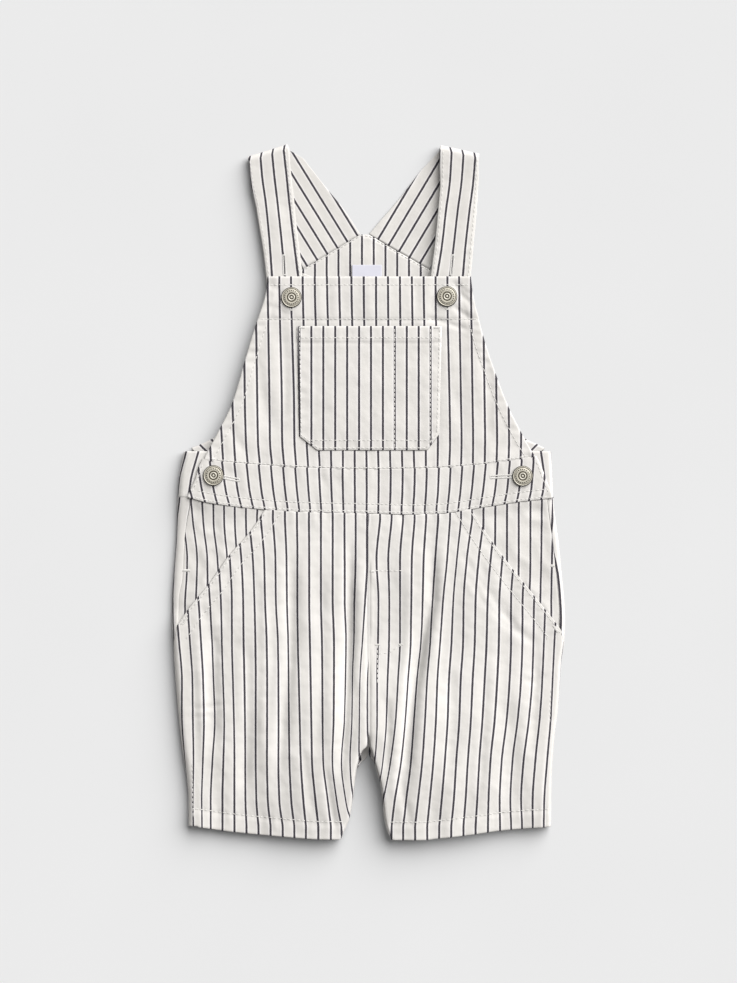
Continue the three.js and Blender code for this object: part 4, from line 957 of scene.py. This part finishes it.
def bodice():
    """From the V seam down to the back waistband, between the armholes."""
    across, down = spaced(250, 2.0), spaced(140, 1.8)
    low, high = 29.6, {LEFT: 156.4, RIGHT: 155.8}
    foot = BACK_BAND_TOP + SEAM * 1.3

    def end(side):
        def edge(v):
            y = blend(high[side], low, v ** 0.6)
            return armhole(side, y), blend(y, foot, v ** 4)
        return edge

    def top(u):
        x = blend(V_SEAM["x"][0], V_SEAM["x"][-1], u)
        return x, v_seam(x)

    def bottom(u):
        return blend(armhole(LEFT, low), armhole(RIGHT, low), u), np.full_like(u, foot)

    flat = patch(top, bottom, end(LEFT), end(RIGHT), across, down)
    x, y = flat[..., 0], flat[..., 1]
    level = np.where(x < 0, back_level(LEFT, x, y), back_level(RIGHT, x, y))
    _, _, from_top, _ = edge_distances(raised(flat, level))
    inside = smooth(45, 25, np.abs(x)) * smooth(3, 12, from_top)
    relief = 0.5 * np.maximum(rumple(x, y, 34, 111), 0) * inside
    cloth_x = (x - BODICE_STRIPE_X) * STRIPE_REPEAT / BODICE_REPEAT
    lay_panel("back_bodice", raised(flat, level + relief), cloth_x, 1)


FACING_SHIFT = {LEFT: 68.8, RIGHT: -60.4}  # moves the slanting stripes into place


def armhole_facing(side):
    """A strip cut on the slant, turned in along the armhole."""
    low, high = 30.8, (153.4 if side < 0 else 152.8)

    def edge_point(v):
        y = blend(low, high, v ** 2)
        return np.array([armhole(side, y) - side * 0.4, y])

    rows = []
    for v in spaced(150, 2.0):
        here = edge_point(v)
        ahead = edge_point(min(1, v + 0.02)) - edge_point(max(0, v - 0.02))
        ahead /= np.linalg.norm(ahead)
        width = FACING_WIDTH * np.linspace(0, 1, 8)
        x, y = here[0] - side * abs(ahead[1]) * width, here[1] - abs(ahead[0]) * width
        y = np.maximum(y, BACK_BAND_TOP + SEAM + (1 - width / FACING_WIDTH) * 0.8)
        z = back_level(side, x, y) + 1.5 + 0.5 * (1 - v) ** 3
        rows.append(np.stack([x, y, z], -1))
    points = np.array(rows)
    x, y = points[..., 0], points[..., 1]
    cloth_x = ((x - side * y) / math.sqrt(2) + FACING_SHIFT[side]) * STRIPE_REPEAT / FACING_REPEAT
    lay_panel(f"armhole_facing_{SIDES[side]}", points, cloth_x, side)


def strap(side):
    """Flat up the back, over the shoulder fold, and down the front to its end under the bib."""
    back, front = STRAP_BACK[side], STRAP_FRONT[side]
    bend = (STRAP_LEVEL - FLOOR_LEVEL) / 2
    inner, outer = (np.array(end) for end in STRAP_FOLD[side])
    outward = np.array([-(inner - outer)[1], (inner - outer)[0]]) * -side
    outward /= np.linalg.norm(outward)
    u = spaced(28, 1.3)

    def across(ends, level):
        """A row of points from the inner edge to the outer one."""
        in_x, in_y, out_x, out_y = ends
        return [blend(in_x, out_x, u), blend(in_y, out_y, u), np.full_like(u, level)]

    def run(columns, level, count):
        """Rows of a flat stretch, on smooth curves through its table."""
        last = len(columns["in_x"]) - 1
        named = dict(columns, row=np.arange(last + 1, dtype=float))
        return [across([read(named, "row", name, k) for name in columns], level)
            for k in np.linspace(0, last, count)]

    def join(before, after, level, count):
        return [across([blend(a, b, t) for a, b in zip(before, after)], level)
            for t in np.linspace(0, 1, count)[1:-1]]

    axis = np.concatenate([end - outward * (bend + OUTLINE_INSET) for end in (inner, outer)])
    turns = np.linspace(-math.pi / 2, math.pi / 2, 15)
    flat_back = run(back, FLOOR_LEVEL, 46)
    flat_back[0][1] = v_seam(flat_back[0][0])
    flat_back += join([column[-1] for column in back.values()], axis, FLOOR_LEVEL, 10)
    fold = [across(axis + np.tile(outward, 2) * bend * math.cos(turn),
        FLOOR_LEVEL + bend * (1 + math.sin(turn)))
        for turn in turns]
    flat_front = join(axis, [column[0] for column in front.values()], STRAP_LEVEL, 12)
    flat_front += run(front, STRAP_LEVEL, 62)
    points = np.array(flat_back + fold + flat_front).transpose(0, 2, 1)
    # How far round the fold each row is: 0 on the back, 1 on the front
    turned = np.concatenate([np.zeros(len(flat_back)), turns / math.pi + 0.5, np.ones(len(flat_front))])
    turned = turned[:, None]
    x, y, z = (points[..., k] for k in range(3))
    if side < 0:
        on_back = 3 * STRIPE_REPEAT + (0.851 * x + 0.525 * y - 79.6) * STRIPE_REPEAT / BODICE_REPEAT
    else:
        on_back = (0.859 * x - 0.512 * y + 76.5) * STRIPE_REPEAT / STRAP_REPEAT
    cloth_x = blend(on_back, on_stripes(STRAP_STRIPES[side], x, y), turned)
    from_in, from_out, from_start, _ = edge_distances(points)
    sides = np.minimum(from_in, from_out)
    lies_up = turned > 0.75
    relief = 0.15 * rumple(x, y, 24, 121 + side) * smooth(0, 3, sides)
    relief += 0.1 * pucker(y, sides - 3, 3, 123 + side) + turned_edge(sides, 1.4, 0.5)
    z -= 0.8 * smooth(150, 215, y) * (1 - smooth(215, 238, y)) * lies_up
    z += relief * lies_up + (turned < 0.1) * 0.25 * np.maximum(rumple(x, y, 30, 125 + side), 0)
    lay_panel(f"strap_{SIDES[side]}", points, cloth_x, side, cloth_y=from_start)


LABEL_X, LABEL_Y = (-11.5, 9.4), (159.2, 141.0)
LABEL_LEVEL, LABEL_THICKNESS = 2.0, 0.5


def label():
    across, down = blend(*LABEL_X, spaced(20.9, 1.2)), blend(*LABEL_Y, spaced(18.2, 1.2))
    flat = np.stack(np.meshgrid(across, down), -1)
    x, y = flat[..., 0], flat[..., 1]
    lay_panel("label", raised(flat, LABEL_LEVEL + 0.08 * rumple(x, y, 16, 131)), x, 1,
        thickness=LABEL_THICKNESS, material=SATIN)


# Sewing

def tube_faces(rings, around, first=0, inward=False):
    """Faces between rings of points, with a cap at both ends."""
    faces = []
    for ring in range(rings - 1):
        for k in range(around):
            a, b = (first + ring * around + n for n in (k, (k + 1) % around))
            faces.append((a, a + around, b + around, b) if inward else (a, b, b + around, a + around))
    for ring, turned in ((0, not inward), (rings - 1, inward)):
        cap = tuple(first + ring * around + k for k in range(around))
        faces.append(cap[::-1] if turned else cap)
    return faces


STITCH_RING = 6
# One stitch, dipping into the cloth at both ends: share of its length, height and width
STITCH_SHAPE = [
    (-0.5, -1.0, 0.45), (-0.36, -0.2, 0.95), (0.0, -0.05, 1.0), (0.36, -0.2, 0.95), (0.5, -1.0, 0.45),
]


def thread_shape(length):
    """Points of one stitch that lies along X."""
    half = THREAD / 2
    return np.array([(x * length, wide * half * math.cos(turn), (z + wide * math.sin(turn)) * half)
        for x, z, wide in STITCH_SHAPE
        for turn in (2 * math.pi * k / STITCH_RING for k in range(STITCH_RING))])


def landing(node, x, y, below=False):
    """Where a needle meets the face of a panel from above, or from below, and which way the cloth faces."""
    start, way = ((x, y, -20), (0, 0, 1)) if below else ((x, y, 40), (0, 0, -1))
    place, normal, _, _ = panels[node][1].ray_cast(Vector(start), Vector(way))
    if place is None:
        return None
    return np.array(place), np.array(normal) * (1 if (normal.z < 0) == below else -1)


def along(route, step):
    """Places a step apart along a route, each with its direction."""
    route = np.array(route, float)
    lengths = np.concatenate([[0], np.cumsum(np.linalg.norm(np.diff(route, axis=0), axis=1))])
    count = max(1, int(lengths[-1] / step))
    at = (np.arange(count) + 0.5) * lengths[-1] / count
    places, ahead, behind = (np.stack([np.interp(at + shift, lengths, route[:, k]) for k in (0, 1)], -1)
        for shift in (0, 0.3, -0.3))
    way = ahead - behind
    return places, way / np.linalg.norm(way, axis=1, keepdims=True)


def rows_of(node, *routes, below=False):
    """Rows of topstitching along routes on a panel."""
    return [(node, x, y, dx, dy, STITCH, below)
        for route in routes for (x, y), (dx, dy) in zip(*along(route, STITCH_STEP))]


def bars_of(node, *routes, width=1.5, step=0.5):
    """Close bars across routes, as in a bartack or the edge of a buttonhole."""
    return [(node, x, y, -dy, dx, width, False)
        for route in routes for (x, y), (dx, dy) in zip(*along(route, step))]


HOLE_ROW_ASIDE, HOLE_ROW_WIDTH, HOLE_END_WIDTH = 0.85, 1.3, 3.0


def buttonhole(node, start, stop):
    """Two rows of close bars with a slit between them, closed by a bar at each end."""
    start, stop = np.array(start, float), np.array(stop, float)
    way = (stop - start) / np.linalg.norm(stop - start)
    aside = np.array([-way[1], way[0]]) * HOLE_ROW_ASIDE
    rows = [start + aside, stop + aside], [start - aside, stop - aside]
    ends = [[end - way * 0.5, end + way * 0.5] for end in (start, stop)]
    return bars_of(node, *rows, width=HOLE_ROW_WIDTH) + bars_of(node, *ends, width=HOLE_END_WIDTH)


def sew(name, stitches):
    """One piece of all the stitches that meet their panel."""
    points, faces = [], []
    for node, x, y, dx, dy, length, below in stitches:
        met = landing(node, x, y, below)
        if met is None:
            continue
        place, normal = met
        tangent = np.array([dx, dy, 0.0])
        tangent -= normal * (tangent @ normal)
        tangent /= np.linalg.norm(tangent)
        shape = thread_shape(length)
        faces += tube_faces(len(STITCH_SHAPE), STITCH_RING, len(points) * len(shape))
        points.append(place + shape @ np.array([tangent, np.cross(normal, tangent), normal]))
    return new_piece(name, np.concatenate(points), faces, THREAD_WHITE, [])


def level_line(y, x_from, x_to):
    x = np.array([x_from, x_to], float)
    return np.stack([x, np.full_like(x, y)], -1)


def seam_line(columns, x_from, x_to, shift):
    x = np.linspace(x_from, x_to, 60)
    return np.stack([x, read(columns, "x", "y", x) + shift], -1)


def edge_line(columns, side, y_from, y_to, inset):
    """A route beside an edge that is a table of x at each y, a distance inside it."""
    y = np.linspace(y_from, y_to, 60)
    x = read(columns, "y", SIDES[side], y)
    way = np.stack([np.gradient(x), np.gradient(y)], -1)
    way /= np.linalg.norm(way, axis=1, keepdims=True)
    inward = np.stack([way[:, 1], -way[:, 0]], -1)
    inward *= np.sign(inward[:, :1]) * -side
    return np.stack([x, y], -1) + inward * inset


# Buttons

# Radius, height over the base, and how far the raised metal is worn bright
BUTTON_PROFILE = [
    (0.01, 1.52, 0.8), (0.65, 1.5, 0.8), (0.9, 1.36, 0.05), (1.4, 1.34, 0.0), (1.6, 1.6, 0.75),
    (2.0, 1.68, 0.9), (2.35, 1.62, 0.75), (2.6, 1.42, 0.05), (3.1, 1.4, 0.0), (3.35, 1.56, 0.6),
    (3.8, 1.58, 0.68), (5.7, 1.56, 0.68), (5.85, 1.45, 0.2), (6.1, 1.45, 0.25), (6.25, 1.64, 0.8),
    (6.5, 1.74, 0.95), (6.68, 1.66, 0.6), (6.8, 1.45, 0.05), (7.0, 1.2, 0.0), (7.17, 0.95, 0.0),
    (7.2, 0.7, 0.0), (7.1, 0.35, 0.0), (6.7, 0.05, 0.0), (6.2, 0.0, 0.1), (2.05, 0.0, 0.1),
]
SHANK_RADIUS, SHANK_SUNK = 2.0, 0.3
BEAD_PROFILE = [(0.5, 1.42, 0.0), (0.425, 1.64, 0.05), (0.25, 1.74, 0.12)]
BEADS, BEAD_CIRCLE = 20, 4.75
HEAD_TURNS, BEAD_TURNS = 72, 8


def button(name, x, y, seat, foot):
    """Tack button head with pressed rings and a ring of small beads, on its shank."""
    base = seat - 0.15  # the head presses into the cloth
    points, faces, relief = [], [], []

    def turned(profile, centre, around, start, inward):
        faces.extend(tube_faces(len(profile), around, len(points), inward))
        for radius, z, worn in profile:
            for turn in (2 * math.pi * k / around + start for k in range(around)):
                points.append((centre[0] + radius * math.cos(turn), centre[1] + radius * math.sin(turn), z))
                relief.append(worn)

    shank = [(SHANK_RADIUS, foot + SHANK_SUNK, 0.1), (0.01, foot + SHANK_SUNK, 0.1)]
    turned([(r, base + z, worn) for r, z, worn in BUTTON_PROFILE] + shank, (x, y), HEAD_TURNS, 0, True)
    beads = [(r, base + z, worn) for r, z, worn in BEAD_PROFILE]
    for turn in (2 * math.pi * k / BEADS for k in range(BEADS)):
        centre = x + BEAD_CIRCLE * math.cos(turn), y + BEAD_CIRCLE * math.sin(turn)
        turned(beads, centre, BEAD_TURNS, turn, False)
    piece = new_piece(f"button_{name}_metal", points, faces, PEWTER, [f"button_{name}"])
    piece.data.attributes.new("relief", "FLOAT", "POINT").data.foreach_set("value", relief)


# Camera over the middle of the garment, looking straight down

CAMERA_HEIGHT = 2.0
VIEW_LENGTH = 0.6881  # real length that fills the picture's long side at the front's level
SENSOR = 36.0

camera_data = bpy.data.cameras.new("camera")
camera_data.sensor_width = SENSOR
camera_data.lens = SENSOR * CAMERA_HEIGHT / VIEW_LENGTH
camera = bpy.data.objects.new("camera", camera_data)
camera.location = (0, 0, CAMERA_HEIGHT + TOP * MM)
bpy.context.scene.collection.objects.link(camera)
bpy.context.scene.camera = camera
bpy.context.scene.view_settings.view_transform = "Standard"

for side in SIDES:
    back_leg(side)
    pocket_facing(side)
    front_leg(side)
    armhole_facing(side)
    strap(side)
waistband_back()
waistband_front()
bib()
bib_pocket()
bodice()
label()
for name, (x, y, seat, foot) in BUTTONS.items():
    button(name, x, y, seat, foot)

# Topstitching, bartacks and buttonholes, joined for each area
bib_sewing = sew("bib_stitching",
    rows_of("bib_front", level_line(144.7, -69.5, 70.5), level_line(120.6, -76.0, 76.0),
        edge_line(BIB_EDGE, LEFT, 119, 21, 7.2), edge_line(BIB_EDGE, RIGHT, 119, 23, 7.2),
        seam_line(WAIST_TOP, -110, 112, 0.9))
    + buttonhole("bib_front", (-53.9, 139), (-53.9, 127))
    + buttonhole("bib_front", (54.9, 139.6), (54.9, 127.6)))
pocket_sewing = sew("bib_pocket_stitching",
    rows_of("bib_pocket", level_line(107.6, -48, 49),
        [(-48.3, 114.5), (-47.0, 39.6), (-35.4, 30.5)], [(49.7, 114.5), (47.9, 40.8), (40.3, 30.5)],
        level_line(30.5, -35, 40), level_line(35.8, -41, 45),
        [(PEN_ROW, 114), (PEN_ROW, 30.5)], [(SIDE_ROW, 114), (SIDE_ROW - 0.4, 33)])
    + bars_of("bib_pocket", [(-48.6, 114.6), (-44.4, 114.6)], [(45.8, 114.6), (50.0, 114.6)]))
waist_sewing = sew("waistband_stitching",
    rows_of("waistband_front",
        seam_line(WAIST_BOTTOM, -122, 125, 1.6), seam_line(WAIST_BOTTOM, -120, 123, 6.8),
        edge_line(BIB_EDGE, LEFT, 20, 0, 1.8), edge_line(BIB_EDGE, RIGHT, 22, 0, 1.8))
    + buttonhole("waistband_front", (-101.5, 10.1), (-90.4, 7.9))
    + buttonhole("waistband_front", (100.8, 10.7), (85.2, 10.1)))

HEM_ENDS = {LEFT: (-125, -18), RIGHT: (15, 126)}
SIDE_TACK = {LEFT: [(-131.5, -55.4), (-125.0, -55.4)], RIGHT: [(127.5, -52.0), (132.5, -52.0)]}
SIDE_SEAM_ROW = {LEFT: [(-123.6, -190), (-122.8, -228)], RIGHT: [(127.6, -138), (126.8, -162)]}
STRAP_HOLE = {LEFT: [(-59.3, 165.6), (-58.7, 151.8)], RIGHT: [(59.2, 165.6), (58.0, 151.8)]}
ROW_PAST_FOLD = (0, 4)
STRAP_ROW_INSET = 1.6
leg_sewing, strap_sewing = {}, {}
for side, name in SIDES.items():
    front, end = f"front_leg_{name}", SLANT_END[side]
    stitches = rows_of(front, edge_line(SLANT, side, -14, end, 1.5),
        edge_line(SLANT, side, -8, end - 6, 10.4), seam_line(HEM, *HEM_ENDS[side], 12.6))
    stitches += rows_of(f"back_leg_{name}", seam_line(HEM, *HEM_ENDS[side], 11.5), below=True)
    stitches += bars_of(front, edge_line(SLANT, side, end + 6, end + 1, 2.5), width=2.0)
    if side == RIGHT:
        # The mock fly lies on the right leg
        stitches += rows_of(front, [(0.8, -55.4), (24, -55.4)], [(6.2, -107), (6.2, -134)])
        stitches += bars_of(front, [(4.6, -107.2), (8.0, -107.2)], [(21.0, -107.0), (24.2, -107.0)])
        stitches += rows_of(front, [(23.6, -107), (14, -113), (6.2, -113.4)])
        stitches += bars_of(front, [(0.9, -56), (4.0, -56)])
    stitches += bars_of(f"pocket_facing_{name}", SIDE_TACK[side], width=2.2)
    stitches += rows_of(front, SIDE_SEAM_ROW[side])
    leg_sewing[side] = sew(f"leg_{name}_stitching", stitches)
for side, name in SIDES.items():
    node, front = f"strap_{name}", STRAP_FRONT[side]
    edges = [np.stack([front[f"{k}_x"], front[f"{k}_y"]], -1) for k in ("in", "out")]
    inner, outer = (np.vstack([np.subtract(fold, ROW_PAST_FOLD), edge])
        for fold, edge in zip(STRAP_FOLD[side], edges))
    inset = (outer - inner) / np.linalg.norm(outer - inner, axis=1, keepdims=True) * STRAP_ROW_INSET
    stitches = rows_of(node, inner + inset, outer - inset)
    strap_sewing[side] = sew(f"{node}_stitching", stitches + buttonhole(node, *STRAP_HOLE[side]))
v_x = np.linspace(V_SEAM["x"][0] + 1, V_SEAM["x"][-1] - 1, 80)
bodice_sewing = sew("bodice_stitching", rows_of("back_bodice", np.stack([v_x, v_seam(v_x) - 0.9], -1)))

# Paper floor, one soft key light from the upper right and an even fill
FLOOR_HALF = 3.0  # metres
TO_KEY_LIGHT = (0.66, 0.75, 0.80)
KEY_SPREAD = 66  # degrees across, as a large softbox close by
FILL = 0.10

corners = [(x * FLOOR_HALF, y * FLOOR_HALF, 0) for x, y in ((-1, -1), (1, -1), (1, 1), (-1, 1))]
floor = bpy.data.objects.new("floor", bpy.data.meshes.new("floor"))
floor.data.from_pydata(corners, [], [(0, 1, 2, 3)])
floor.data.materials.append(pale_backdrop())
bpy.context.scene.collection.objects.link(floor)

key = bpy.data.lights.new("key", "SUN")
key.energy = 4.34
key.angle = math.radians(KEY_SPREAD)
key_light = bpy.data.objects.new("key", key)
key_light.rotation_euler = Vector(TO_KEY_LIGHT).to_track_quat("Z", "Y").to_euler()
bpy.context.scene.collection.objects.link(key_light)

world = bpy.data.worlds.new("studio fill")
world.use_nodes = True
background = world.node_tree.nodes["Background"]
background.inputs["Color"].default_value = (1.0, 1.0, 1.0, 1.0)
background.inputs["Strength"].default_value = FILL
bpy.context.scene.world = world
